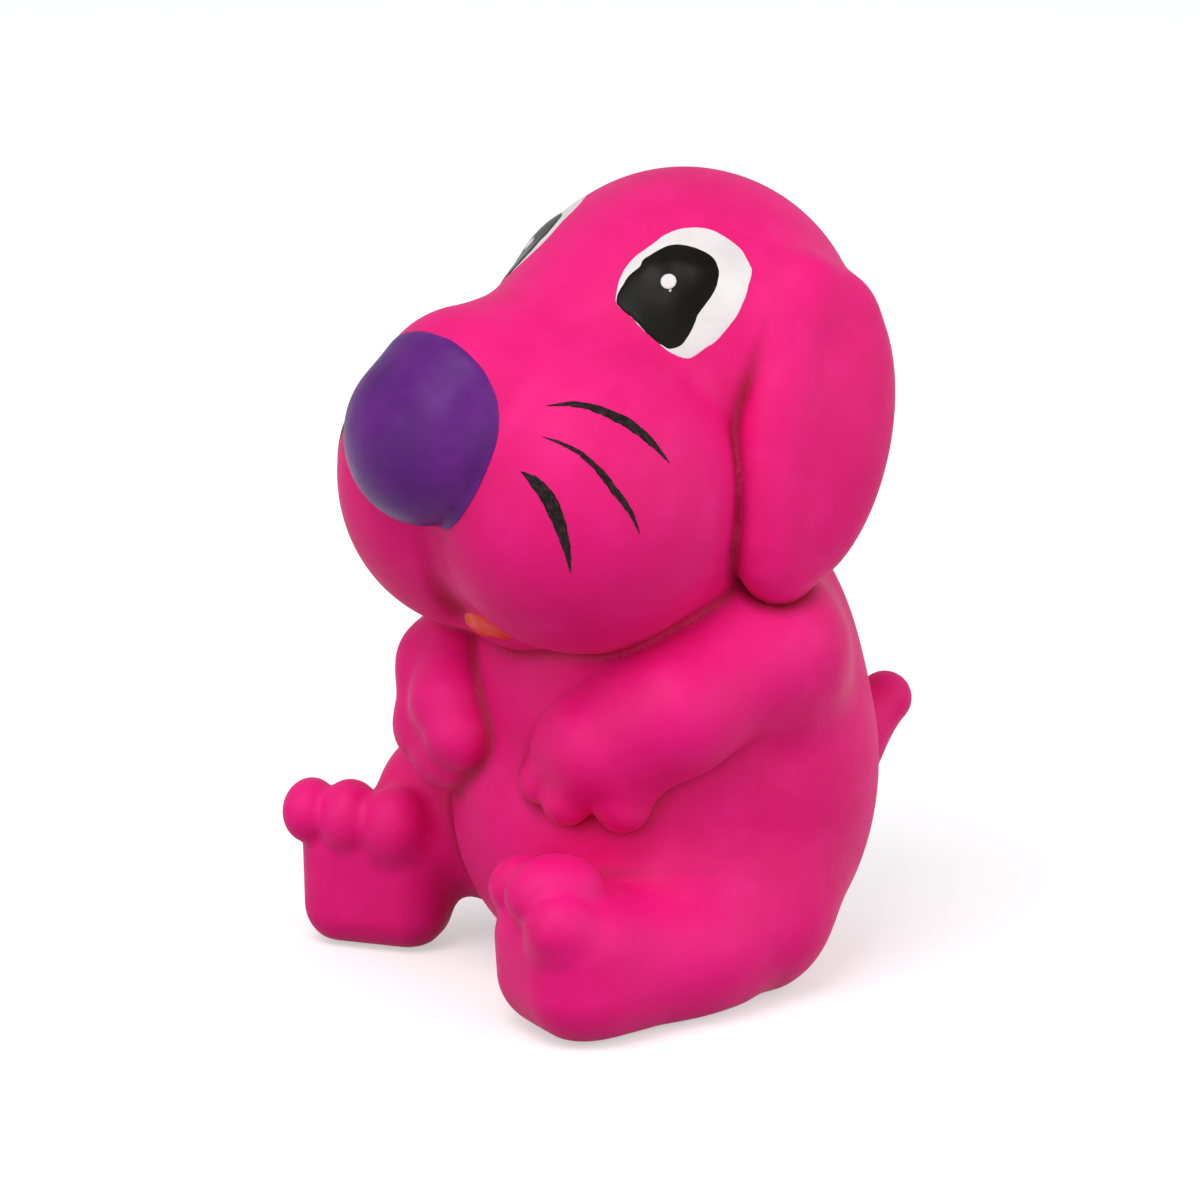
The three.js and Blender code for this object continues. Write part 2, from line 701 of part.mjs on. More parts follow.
// Radius of an outline at an angle, from shares spaced evenly round it
function outlineRadius(shares, angle) {
  const place = (((angle / (2 * Math.PI)) * shares.length) + 2 * shares.length) % shares.length;
  const index = Math.floor(place);
  const from = shares[index % shares.length];
  const to = shares[(index + 1) % shares.length];
  return THREE.MathUtils.lerp(from, to, THREE.MathUtils.smoothstep(place - index, 0, 1));
}

// Round patch on an eye, from an outline in shares of the eye's radius, grown by a margin
function eyePatch(side, shares, centre, radius, margin) {
  const middle = scaled(eyePlaceShares, evenly(HEAD_RADIUS)).add(skullMiddle);
  const facing = vector(eyeFacingShares).normalize();
  const outward = new THREE.Vector3(0, 0, 1).cross(facing).normalize();
  const upward = facing.clone().cross(outward);
  return (s, t) => {
    const u = s * Math.sqrt(1 - (t * t) / 2);
    const v = t * Math.sqrt(1 - (s * s) / 2);
    const grown = radius * outlineRadius(shares, Math.atan2(v, u)) + margin;
    const place = middle.clone();
    place.addScaledVector(outward, centre[0] * EYE_RADIUS + u * grown);
    place.addScaledVector(upward, centre[1] * EYE_RADIUS + v * grown);
    return place.setX(side * place.x);
  };
}

// Tapered stroke along a curve on the cheek
function stroke(side, shares, width) {
  const points = shares.map((share) => scaled(share, jowlSizes).add(jowlMiddle));
  const curve = new THREE.CatmullRomCurve3(points);
  return (s, t) => {
    const along = (s + 1) / 2;
    const place = curve.getPoint(along);
    const outward = place.clone().sub(jowlMiddle).normalize();
    const across = curve.getTangent(along).cross(outward).normalize();
    const swell = WHISKER_WIDTH * width * (1 / 4 + (3 / 4) * Math.sin(Math.PI * along));
    return place.addScaledVector(across, (t * swell) / 2).setX(side * place.x);
  };
}

// Squeaker pieces about the upright axis of the seat
function ring(points) {
  const profile = points.map(([radius, height]) => new THREE.Vector2(radius, height));
  profile.push(profile[0].clone());
  return solidOf(new THREE.LatheGeometry(profile, ROUND_SIDES).rotateX(Math.PI / 2));
}

const bore = SQUEAKER_RADIUS - SQUEAKER_WALL;
const tubeTop = SQUEAKER_RECESS + SQUEAKER_HEIGHT;
const flangeBottom = WALL + GAP;
const flangeTop = flangeBottom + FLANGE_THICKNESS;
const seatTop = REED_SEAT_HEIGHT + REED_SEAT_THICKNESS;
const reedBottom = seatTop + GAP;
const passage = REED_THICKNESS + 2 * GAP;
const clampMiddle = (REED_LENGTH - CLAMP_WIDTH) / 2;

function squeakerCup() {
  const tube = cylinder(SQUEAKER_RADIUS, SQUEAKER_RECESS, tubeTop);
  const flange = cylinder(FLANGE_RADIUS, flangeBottom, flangeTop);
  const lower = cylinder(bore, -OVERRUN, REED_SEAT_HEIGHT);
  const upper = cylinder(bore, seatTop, tubeTop + OVERRUN);
  const slotLength = REED_LENGTH - 2 * CLAMP_WIDTH;
  const slot = box(REED_SLOT_WIDTH, slotLength, OVERRUN, 0, -CLAMP_WIDTH / 2, 0);
  const bar = box(2 * bore, CLAMP_WIDTH, passage + CLAMP_THICKNESS, 0, clampMiddle, seatTop);
  const under = box(REED_WIDTH + 2 * GAP, CLAMP_WIDTH + OVERRUN, passage, 0, clampMiddle, seatTop);
  const wall = cut(cylinder(SQUEAKER_RADIUS, SQUEAKER_RECESS, tubeTop), lower, upper);
  const trimmedBar = bar.intersect(cylinder(SQUEAKER_RADIUS - GAP, 0, tubeTop)).subtract(under);
  return cut(tube.add(flange), lower, upper).add(wall).subtract(slot).add(trimmedBar);
}

function squeakerCap() {
  const disc = cylinder(bore - GAP, SQUEAKER_RECESS, SQUEAKER_RECESS + CAP_THICKNESS);
  return disc.subtract(cylinder(AIR_HOLE_RADIUS, -OVERRUN, OVERRUN));
}

// Pieces, each cut by the larger ones that it meets
const floor = below(0);
const bodyOuter = formAt(body).subtract(floor);
const bodyGrown = formAt(body, GAP);
const headOuter = formAt(head);
const headGrown = formAt(head, GAP);
const headPainted = formAt(head, GAP + PAINT);

const seatHole = cylinder(SQUEAKER_RADIUS + GAP, -OVERRUN, OVERRUN / 2);
const neckHole = cylinder(NECK_OPENING_RADIUS, BODY_HEIGHT / 2, BODY_HEIGHT + OVERRUN);
const bodyCavity = formAt(body, -WALL, INNER_CELLS).subtract(below(WALL));
const bodySkin = cut(bodyOuter, bodyCavity, seatHole, neckHole);

const headCavity = formAt(head, -WALL, INNER_CELLS);
const headSkin = cut(headOuter, headCavity, bodyGrown);

const squeakerRoom = cylinder(FLANGE_RADIUS + GAP, -OVERRUN, tubeTop + GAP);
const bodyFilling = cut(formAt(body, -WALL - GAP, INNER_CELLS), below(WALL + GAP), squeakerRoom);
const headFilling = formAt(head, -WALL - GAP, INNER_CELLS).subtract(bodyGrown);

const toy = new THREE.Group();
const dog = new THREE.Group();
toy.add(dog);

function add(name, solid, color, roughness) {
  const geometry = largestBody(solid);
  geometry.computeVertexNormals();
  const mesh = new THREE.Mesh(geometry, new THREE.MeshStandardMaterial({ color, roughness, metalness: 0 }));
  mesh.name = name;
  dog.add(mesh);
}

add("torso_skin", bodySkin, PINK, 0.62);
add("head_skin", headSkin, PINK, 0.62);
add("torso_filling", bodyFilling, WADDING, 0.95);
add("head_filling", headFilling, WADDING, 0.95);

for (const [side, label] of [[1, "left"], [-1, "right"]]) {
  const leg = legOf(side, legShares[label]);
  const arm = armOf(side, armShares[label]);
  const ear = earOf(side);
  const legGrown = formAt(leg, GAP);
  const armGrown = formAt(arm, GAP);
  add(`leg_${label}`, cut(formAt(leg), bodyGrown, floor), PINK, 0.62);
  add(`arm_${label}`, cut(formAt(arm), bodyGrown, headGrown, legGrown), PINK, 0.62);
  add(`ear_${label}`, cut(formAt(ear), bodyGrown, headGrown, armGrown), PINK, 0.62);

  const roundEye = eyePatch(side, eyeOutlineShares, [0, 0], EYE_RADIUS, 0);
  const roundPupil = eyePatch(side, pupilOutlineShares, [0, 0], EYE_RADIUS, 0);
  const pupilRoom = eyePatch(side, pupilOutlineShares, [0, 0], EYE_RADIUS, GAP);
  const roundGlint = eyePatch(side, [1], glintPlaceShares, GLINT_RADIUS, 0);
  const glintRoom = eyePatch(side, [1], glintPlaceShares, GLINT_RADIUS, GAP);
  const eye = paint(roundEye, EYE_CELLS, EYE_CELLS);
  const pupil = paint(roundPupil, EYE_CELLS, EYE_CELLS);
  const glint = paint(roundGlint, GLINT_CELLS, GLINT_CELLS);
  const eyeHole = film(pupilRoom, -2 * PAINT_REACH, 2 * PAINT_REACH, EYE_CELLS, EYE_CELLS);
  const pupilHole = film(glintRoom, -2 * PAINT_REACH, 2 * PAINT_REACH, GLINT_CELLS, GLINT_CELLS);
  add(`eye_${label}`, eye.subtract(eyeHole), WHITE, 0.45);
  add(`pupil_${label}`, pupil.subtract(pupilHole), BLACK, 0.15);
  add(`glint_${label}`, glint, WHITE, 0.3);
  whiskerShares.forEach((shares, index) => {
    const line = stroke(side, shares, whiskerWidthShares[index]);
    add(`whisker_${label}_${index + 1}`, paint(line, WHISKER_CELLS, 1), BLACK, 0.5);
  });
}

add("nose", cut(formAt(nose), headGrown), PURPLE, 0.32);
add("tongue", cut(formAt(tongue), headGrown), RED, 0.4);
add("tail", cut(formAt(tail), bodyGrown), PINK, 0.62);

const reed = box(REED_WIDTH, REED_LENGTH, REED_THICKNESS, 0, 0, reedBottom);
add("squeaker_cup", squeakerCup(), PLASTIC, 0.4);
add("squeaker_reed", reed, PLASTIC, 0.35);
add("squeaker_cap", squeakerCap(), PLASTIC, 0.4);

// Origin under the middle of the whole toy
const middle = new THREE.Box3().setFromObject(dog).getCenter(new THREE.Vector3());
dog.position.set(-middle.x, -middle.y, 0);

export default toy;
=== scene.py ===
"""Sitting toy dog of soft matt rubber with a painted face and a squeaker in its seat.

Every soft form is a signed distance field in millimetres, meshed here and placed on the CAD frame
by SHIFT. The dog faces -Y and its own left side is +X.
"""
import math
from concurrent.futures import ThreadPoolExecutor

import bpy
import numpy as np
from mathutils import Matrix, Vector


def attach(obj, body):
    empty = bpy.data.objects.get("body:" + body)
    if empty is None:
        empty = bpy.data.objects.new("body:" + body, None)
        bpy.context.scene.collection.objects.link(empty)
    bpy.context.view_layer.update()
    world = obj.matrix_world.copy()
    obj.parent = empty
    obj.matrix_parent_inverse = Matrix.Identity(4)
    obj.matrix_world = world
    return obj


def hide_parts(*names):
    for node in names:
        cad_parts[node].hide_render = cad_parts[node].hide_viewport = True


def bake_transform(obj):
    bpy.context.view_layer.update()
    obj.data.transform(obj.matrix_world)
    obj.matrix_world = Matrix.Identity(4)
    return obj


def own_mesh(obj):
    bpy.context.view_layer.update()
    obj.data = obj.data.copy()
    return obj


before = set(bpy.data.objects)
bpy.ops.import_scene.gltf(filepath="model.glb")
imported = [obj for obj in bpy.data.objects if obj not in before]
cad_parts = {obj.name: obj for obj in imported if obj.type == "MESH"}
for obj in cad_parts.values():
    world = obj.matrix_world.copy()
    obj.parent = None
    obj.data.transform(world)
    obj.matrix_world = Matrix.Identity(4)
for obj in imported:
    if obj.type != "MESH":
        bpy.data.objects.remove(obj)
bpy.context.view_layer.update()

MM = 0.001
SHIFT = np.array([1.8185, 5.8161, 0.0])  # from the frame of the fields to the CAD frame
F = np.float32

# ---------------------------------------------------------------- camera

AZIMUTH, ELEVATION, DISTANCE = math.radians(57), math.radians(15.5), 2000.0
PIXELS_PER_MM, PICTURE, SENSOR = 5.95, 1200, 36
ORIGIN_PIXEL = (660, 956)  # where the origin of the fields lies in the photograph

right = np.array([math.cos(AZIMUTH), math.sin(AZIMUTH), 0])
back = np.array([
    math.sin(AZIMUTH) * math.cos(ELEVATION),
    -math.cos(AZIMUTH) * math.cos(ELEVATION),
    math.sin(ELEVATION),
])
up = np.cross(back, right)
aim = (right * (PICTURE / 2 - ORIGIN_PIXEL[0]) / PIXELS_PER_MM
       + up * (ORIGIN_PIXEL[1] - PICTURE / 2) / PIXELS_PER_MM)

camera_data = bpy.data.cameras.new("camera")
camera_data.sensor_width = SENSOR
camera_data.lens = SENSOR * DISTANCE * PIXELS_PER_MM / PICTURE
camera_data.clip_start, camera_data.clip_end = 0.1, 20
camera = bpy.data.objects.new("camera", camera_data)
bpy.context.scene.collection.objects.link(camera)

turned = Matrix([list(right), list(up), list(back)]).transposed()
place = (aim + back * DISTANCE + SHIFT) * MM
camera.matrix_world = Matrix.Translation(Vector(place)) @ turned.to_4x4()
bpy.context.scene.camera = camera


# ---------------------------------------------------------------- fields

def turn(rx=0.0, ry=0.0, rz=0.0):
    """Matrix that turns about X, then Y, then Z, in degrees."""
    a, b, c = np.radians([rx, ry, rz])
    mx = np.array([[1, 0, 0], [0, np.cos(a), -np.sin(a)], [0, np.sin(a), np.cos(a)]])
    my = np.array([[np.cos(b), 0, np.sin(b)], [0, 1, 0], [-np.sin(b), 0, np.cos(b)]])
    mz = np.array([[np.cos(c), -np.sin(c), 0], [np.sin(c), np.cos(c), 0], [0, 0, 1]])
    return (mz @ my @ mx).astype(F)


def lump(p, middle, radii, tilt=(0, 0, 0)):
    """Ellipsoid; tilt is in degrees about X, Y and Z."""
    q = p - np.asarray(middle, F)
    if any(tilt):
        q = q @ turn(*tilt)
    r = np.asarray(radii, F)
    q = q / r
    k0 = np.sqrt((q * q).sum(-1))
    q = q / r
    return k0 * (k0 - 1) / (np.sqrt((q * q).sum(-1)) + F(1e-9))


def taper(p, start, end, r0, r1):
    """Round limb from one point to another, whose radius changes softly from r0 to r1."""
    a, d = np.asarray(start, F), np.asarray(end, F) - np.asarray(start, F)
    q = p - a
    t = np.clip((q @ d) / F(d @ d), 0, 1)
    q = q - t[..., None] * d
    return np.sqrt((q * q).sum(-1)) - (F(r0) + F(r1 - r0) * t * t * (3 - 2 * t))


def block(p, middle, half, rounding, tilt=(0, 0, 0)):
    """Box with rounded edges."""
    q = np.abs((p - np.asarray(middle, F)) @ turn(*tilt)) - (np.asarray(half, F) - F(rounding))
    inside = np.minimum(q.max(-1), 0)
    q = np.maximum(q, 0)
    return np.sqrt((q * q).sum(-1)) + inside - F(rounding)


def join(a, b, k):
    """Union of two fields with a fillet about k wide."""
    h = np.maximum(k - np.abs(a - b), 0) / k
    return np.minimum(a, b) - h * h * k * F(0.25)


def carve(a, b, k):
    """The first field without the second, with the edge rounded."""
    return -join(-a, b, k)


def ramp(x, low, high):
    """Soft step from 0 at low to 1 at high."""
    t = np.clip((x - low) / (high - low), 0, 1)
    return t * t * (3 - 2 * t)


def mirror(p):
    return p * np.array([-1, 1, 1], F)


HEAD_TURN = turn(rz=7)
SKULL = ((-0.5, 5.9, 105.4), (30.3, 28.8, 29.1))
MUZZLE = ((0, -8, 101.9), (0, -40.5, 102.4), 21.2, 16.6)
BROW = ((13.2, -3.8, 112.6), (12.3, 9.6, 14.2), (22, 0, 33))
FAR_BROW = ((13.0, -4.8, 110.7), (12.3, 9.6, 14.2), (22, 0, 33))
JOWL = ((12, -26, 87.5), (24, 26.5, 26.5))
FAR_JOWL = ((12, -26.8, 86.8), (24, 26.2, 26.9))
CHEEK = ((16, -11.5, 80), (13.6, 13, 16.5))
CHIN = ((0, -30, 68), (13, 10, 8.5))
NOSE = ((0, -49.8, 98.9), (15.5, 12.1, 14.7), (-13, 0, 0))
EAR = ((29.3, 8.3, 95), (8.7, 15, 25.9), (-20, -6, 0))
EAR_EDGE = [  # x, y, z and radius
    (27, 8.5, 119.5, 4), (29.5, 2.4, 111, 4.6), (31.3, -1.2, 101, 5),
    (32.3, -4.2, 88, 5), (32.3, -5.2, 77.5, 5), (31.4, -2, 73.4, 4.8),
]
PHILTRUM = [(-0.3, -51.6, 84), (-1, -49.6, 77), (-2.2, -45.6, 70.2), (-2.8, -41.4, 65.5)]
PHILTRUM_RADII = (0.3, 0.7, 1.3, 1.6)
TRUNK, CHEST = ((0, 5.3, 34.2), (34, 31.3, 40.8)), ((0, 2.8, 58), (28, 25.8, 25))
BELLY, BREAST = ((0, -8, 29), (28, 28, 30)), ((0, -4, 52), (29, 29, 22))
TAIL = ((0, 33, 28), (0, 45.4, 38.1), 8, 4.6)


def head_frame(p):
    """Points in the head's own frame, in which its left and right nearly mirror each other."""
    return p @ HEAD_TURN


def chain(p, points, radii):
    """Round cord along a row of points."""
    d = None
    for a, b, ra, rb in zip(points, points[1:], radii, radii[1:]):
        c = taper(p, a, b, ra, rb)
        d = c if d is None else np.minimum(d, c)
    return d


def mouth_line(q):
    """The groove from the nose down to the chin, in the head's frame."""
    return chain(q, PHILTRUM, PHILTRUM_RADII)


def head(p):
    q = head_frame(p)
    m = mirror(q)
    d = join(lump(q, *SKULL), taper(q, *MUZZLE), 12)
    d = join(join(d, lump(q, *CHEEK), 5), lump(m, *CHEEK), 5)
    d = join(join(d, lump(q, *JOWL), 3.4), lump(m, *FAR_JOWL), 3.4)
    d = join(join(d, lump(q, *BROW), 3), lump(m, *FAR_BROW), 3)
    d = join(d, lump(q, *CHIN), 2)
    return carve(d, mouth_line(q), 2.4)


def nose(p):
    return lump(head_frame(p), *NOSE)


def corners_cut(points):
    """The same path with each corner replaced by two softer ones."""
    p = np.array(points, F)
    a, b = p[:-1], p[1:]
    inner = np.stack([F(0.75) * a + F(0.25) * b, F(0.25) * a + F(0.75) * b], 1)
    return np.vstack([p[:1], inner.reshape(-1, p.shape[1])[1:-1], p[-1:]])


EAR_RIDGE = corners_cut(EAR_EDGE)


def ear(p, side):
    """Thick flap with a rounded ridge along its front edge. Side is 1 on the left, else -1."""
    q = head_frame(p)
    if side < 0:
        q = mirror(q)
    return join(lump(q, *EAR), chain(q, EAR_RIDGE[:, :3], EAR_RIDGE[:, 3]), 5)


def torso(p):
    d = join(lump(p, *TRUNK), lump(p, *CHEST), 10)
    return join(join(d, lump(p, *BELLY), 8), lump(p, *BREAST), 8)


def arm_left(p):
    shoulder, elbow, wrist = (26, 5, 59), (29.6, -17, 52.4), (22.5, -27, 45.9)
    d = join(taper(p, shoulder, elbow, 12.5, 10), taper(p, elbow, wrist, 10, 8.6), 5)
    fingers = taper(p, (18, -30, 44), (13.9, -32.5, 39.2), 4.8, 3.8)
    fingers = join(fingers, taper(p, (21, -28.3, 44), (19.2, -31, 37), 5, 4.2), 1.2)
    fingers = join(fingers, taper(p, (27, -22, 45), (25.8, -24.3, 36.9), 5.6, 4.7), 1.2)
    return join(d, fingers, 4)


def arm_right(p):
    shoulder, elbow, wrist = (-26, 5, 59), (-25.5, -18.5, 55), (-19, -30, 51.2)
    outer_knuckle, inner_knuckle = (-16, -33, 42), (-9.8, -35, 47.5)
    d = join(taper(p, shoulder, elbow, 12.5, 8.8), taper(p, elbow, wrist, 8.8, 8), 3)
    d = join(d, taper(p, wrist, outer_knuckle, 8, 7.8), 3)
    d = join(d, taper(p, outer_knuckle, (-11, -34.5, 38.7), 7.8, 6.6), 2)
    inner = taper(p, (-16.5, -29.5, 56), inner_knuckle, 6.5, 6.8)
    inner = join(inner, taper(p, inner_knuckle, (-5.5, -36, 43.4), 6.8, 6.3), 2)
    return join(d, inner, 1.5)


LEGS = {  # hip and ankle with radius, knee as a lump, heel and foot as blocks, toes with fillet
    1: dict(
        hip=((23.5, 2.5, 12.6), 12.6), ankle=((27.5, -26, 11.2), 11),
        knee=((27.5, -15, 10.6), (12, 15, 10.6)),
        heel=((24, -16.6, 9.3), (12, 16.4, 9), 7.5, (0, 0, 8)),
        foot=((27, -36.1, 12.4), (14.3, 9.5, 12.3), 9.4, (4, 0, -6)), merge=8,
        toes=(((34.2, -42.2, 20.8), (5.9, 5.7, 6), 2.5), ((18.6, -39.5, 23.6), (4.9, 5.6, 5.2), 2),
              ((28.8, -39.7, 25), (6.8, 8.5, 6.4), 1.2)),
    ),
    -1: dict(
        hip=((22, 0, 15), 15), ankle=((29, -24, 18), 8.5),
        knee=((30, -20, 22.5), (13.5, 15.5, 14.5)),
        heel=((23, -6, 9), (8, 8, 9), 8, (0, 0, 14)),
        foot=((33, -35.2, 12), (12.5, 8, 12.3), 7, (4, 0, -37)), merge=4,
        toes=(((38.5, -45, 23.3), (4.6, 5.8, 5.5), 1.2),
              ((32.7, -40.9, 22.9), (5.3, 6.2, 6.4), 1.2), ((25.8, -36, 22.2), (5.8, 6.4, 7), 2)),
    ),
}


def leg(p, side):
    q = p if side > 0 else mirror(p)
    s = LEGS[side]
    (hip, hip_radius), (ankle, ankle_radius) = s["hip"], s["ankle"]
    foot_turn = (0, 0, s["foot"][3][2])
    d = taper(q, hip, ankle, hip_radius, ankle_radius)
    d = join(d, lump(q, *s["knee"]), 5)
    d = join(d, block(q, *s["heel"]), 4)
    d = join(d, block(q, *s["foot"]), s["merge"])
    for c, r, k in s["toes"]:
        d = join(d, lump(q, c, r, foot_turn), k)
    return d


def tail(p):
    return taper(p, *TAIL)


def leg_blend(p):
    """Wide where the thigh grows out of the body, narrow beside the foot."""
    return F(2.5) + F(7) * ramp(p[..., 1], -32, -16)


def arm_blend(p):
    """Wide on top and at the shoulder of the near arm, narrow in the fold under it."""
    top = ramp(p[..., 2] - F(0.38) * p[..., 1] - F(53.5), -2, 7)
    return F(2) + F(6) * np.maximum(top, ramp(p[..., 1], -4, 8))


LIMBS = {
    "arm_left": (arm_left, arm_blend),
    "arm_right": (arm_right, lambda p: 2.0),
    "leg_left": (lambda p: leg(p, 1), leg_blend),
    "leg_right": (lambda p: leg(p, -1), leg_blend),
    "tail": (tail, lambda p: 2.5),
}
NECK_BLEND = 2.0
WALL = 1.8
HOLD = 1.0  # a piece keeps the common surface this far past its seam
TUCK = 0.9  # how deep a piece reaches below its neighbour's own surface
EAR_GAP = 0.3  # between the ears and the body below them
UNDER_EAR, UNDER_EAR_REACH = 0.35, 3.0  # depth and width of the head's own surface at the ears
STUFFING_GAP, SEAT_GAP = 0.9, 0.4  # between the wadding, before its lumps, and the wall
NECK_HOLE, NECK_BOTTOM = 12, 41  # radius of the opening and the height it starts at
SEAT_HOLE, SEAT_TOP = 7.3, 10  # radius of the hole and the height it reaches
SQUEAKER_RADIUS, SQUEAKER_TOP = 9.9, 10.8  # room for the squeaker in the wadding


def ear_blend(p):
    """Wide at the ear's root on top of the skull, narrow along the fold in front of it."""
    return F(1.2) + F(9) * ramp(p[..., 2], 103, 119)


def sunk(s):
    """How deep a piece's surface goes below the whole, by how far past the seam a point lies."""
    s = np.maximum(s - F(HOLD), 0)
    return np.where(s < 2, s * s / 4, s - 1)


def figure(p):
    """Fields of all parts and their smooth unions: low for the body, high for the head."""
    f = {n: field(p) for n, (field, _) in LIMBS.items()}
    f["torso"], f["head"], f["nose"] = torso(p), head(p), nose(p)
    f["ear_left"], f["ear_right"] = ear(p, 1), ear(p, -1)
    f["ears"] = np.minimum(f["ear_left"], f["ear_right"])
    f["limbs"] = np.minimum.reduce([f[n] for n in LIMBS])
    f["below"] = np.minimum(f["limbs"], f["torso"])
    low = f["torso"]
    for n, (_, blend) in LIMBS.items():
        low = join(low, f[n], blend(p))
    low = carve(low, p[..., 2], 1.6)
    f["body"] = low
    front = join(f["head"], f["nose"], 1.6)
    high = front
    for n in ("ear_left", "ear_right"):
        high = join(high, f[n], ear_blend(p))
    f["high"] = high
    f["low"] = join(low, front, NECK_BLEND)
    return f


def around(p):
    """Distance from the upright axis through the seat."""
    return np.sqrt(p[..., 0] ** 2 + p[..., 1] ** 2)


def limb_piece(name):
    def field(p):
        f = figure(p)
        others = np.minimum.reduce([f[n] for n in (*LIMBS, "torso", "head") if n != name])
        return np.maximum(f["low"] + sunk(f[name] - others), -f["torso"] - F(TUCK))
    return field


def torso_piece(p):
    f = figure(p)
    d = f["low"] + sunk(f["torso"] - np.minimum(f["limbs"], f["head"]))
    d = np.maximum(d, -np.maximum(f["torso"] + WALL, WALL - p[..., 2]))
    neck = np.maximum(around(p) - NECK_HOLE, NECK_BOTTOM - p[..., 2])
    seat = np.maximum(around(p) - SEAT_HOLE, p[..., 2] - SEAT_TOP)
    return np.maximum(np.maximum(d, -neck), -seat)


def head_piece(p):
    """Shell of the head; under the ears it keeps a surface of its own, seen when they lift."""
    f = figure(p)
    d = np.minimum(f["high"], f["low"]) + sunk(f["head"] - f["below"])
    d = d + sunk(f["head"] - f["ears"]) + sunk(f["head"] - f["nose"])
    d = np.minimum(d, np.maximum(f["head"] + F(UNDER_EAR), f["ears"] - F(UNDER_EAR_REACH)))
    d = np.maximum(d, -f["head"] - F(WALL))
    return np.maximum(d, -f["torso"] - F(TUCK))


def ear_piece(name):
    def field(p):
        f = figure(p)
        d = carve(f["high"] + sunk(f[name] - f["head"]), f["head"] + F(TUCK), 2)
        return np.maximum(d, F(EAR_GAP) - f["below"])
    return field


def nose_piece(p):
    f = figure(p)
    return np.maximum(f["high"] + sunk(f["nose"] - f["head"]), -f["head"] - F(TUCK))


def stuffing(part):
    """Lumpy wadding inside the shell of the torso, with room for the squeaker, or of the head."""
    def field(p):
        f = figure(p)
        x, y, z = p[..., 0], p[..., 1], p[..., 2]
        lumps = F(0.5) * np.sin(x * 0.9) * np.sin(y * 0.8 + 1) * np.sin(z * 0.85 + 2)
        d = f[part] + F(WALL + STUFFING_GAP) + lumps
        if part == "torso":
            room = np.maximum(around(p) - SQUEAKER_RADIUS, z - SQUEAKER_TOP)
            return np.maximum(np.maximum(d, WALL + F(SEAT_GAP) - z), -room)
        return np.maximum(d, F(WALL) - f["torso"] + lumps)
    return field


# ---------------------------------------------------------------- meshing

SHARP_ANGLE = math.radians(60)
SLAB, CHUNK = 2, 8000  # slices of a grid and points of a mesh that a thread takes at a time


def surface_nets(values, low, step):
    """Quads where a grid of values changes sign, with one point in each cell that is crossed."""
    inside = values < 0
    n = np.array(values.shape)
    total = np.zeros(tuple(n - 1) + (3,), F)
    count = np.zeros(tuple(n - 1), F)
    for axis in range(3):
        a = np.take(values, range(n[axis] - 1), axis)
        b = np.take(values, range(1, n[axis]), axis)
        cross = (a < 0) != (b < 0)
        t = np.where(cross, a / np.where(cross, a - b, 1), 0)
        others = [o for o in range(3) if o != axis]
        for i in (0, 1):
            for j in (0, 1):
                sl = [slice(None)] * 3
                sl[others[0]] = slice(i, n[others[0]] - 1 + i)
                sl[others[1]] = slice(j, n[others[1]] - 1 + j)
                c, tt = cross[tuple(sl)], t[tuple(sl)]
                count += c
                total[..., axis] += np.where(c, tt, 0)
                total[..., others[0]] += c * i
                total[..., others[1]] += c * j
    has = count > 0
    index = np.full(has.shape, -1, np.int64)
    index[has] = np.arange(has.sum())
    verts = low + (np.argwhere(has) + total[has] / count[has][:, None]) * step
    quads = []
    for axis in range(3):
        u, v = (axis + 1) % 3, (axis + 2) % 3
        a = np.take(inside, range(n[axis] - 1), axis)
        b = np.take(inside, range(1, n[axis]), axis)
        where = np.argwhere(a != b)
        across, upward = where[:, u], where[:, v]
        keep = (across > 0) & (upward > 0) & (across < n[u] - 1) & (upward < n[v] - 1)
        where = where[keep]
        flip = a[tuple(where.T)]
        corners = []
        for du, dv in ((1, 1), (0, 1), (0, 0), (1, 0)):
            w = where.copy()
            w[:, u] -= du
            w[:, v] -= dv
            corners.append(index[tuple(w.T)])
        q = np.stack(corners, 1)
        q[flip] = q[flip][:, ::-1]
        quads.append(q)
    return verts, np.concatenate(quads)


def slope(field, p, e=0.08):
    """Gradient of a field by central differences."""
    steps = np.eye(3, dtype=F) * F(e)
    return np.stack([(field(p + s) - field(p - s)) / F(2 * e) for s in steps], -1)


def settle(field, p, rounds=2, most=0.5):
    """Moves points onto the field's surface."""
    p = p.astype(F)
    for _ in range(rounds):
        g = slope(field, p)
        move = field(p)[:, None] * g / ((g * g).sum(-1, keepdims=True) + F(1e-6))
        length = np.linalg.norm(move, axis=1, keepdims=True)
        p = p - move * np.minimum(1, most / (length + 1e-9)).astype(F)
    return p


def volume(verts, faces):
    """Six times the volume inside a mesh of quads, below zero where its faces look inwards."""
    a, b, c, d = (verts[faces[:, i]] for i in range(4))
    return (np.cross(b - a, c - a) * a).sum() + (np.cross(c - a, d - a) * a).sum()


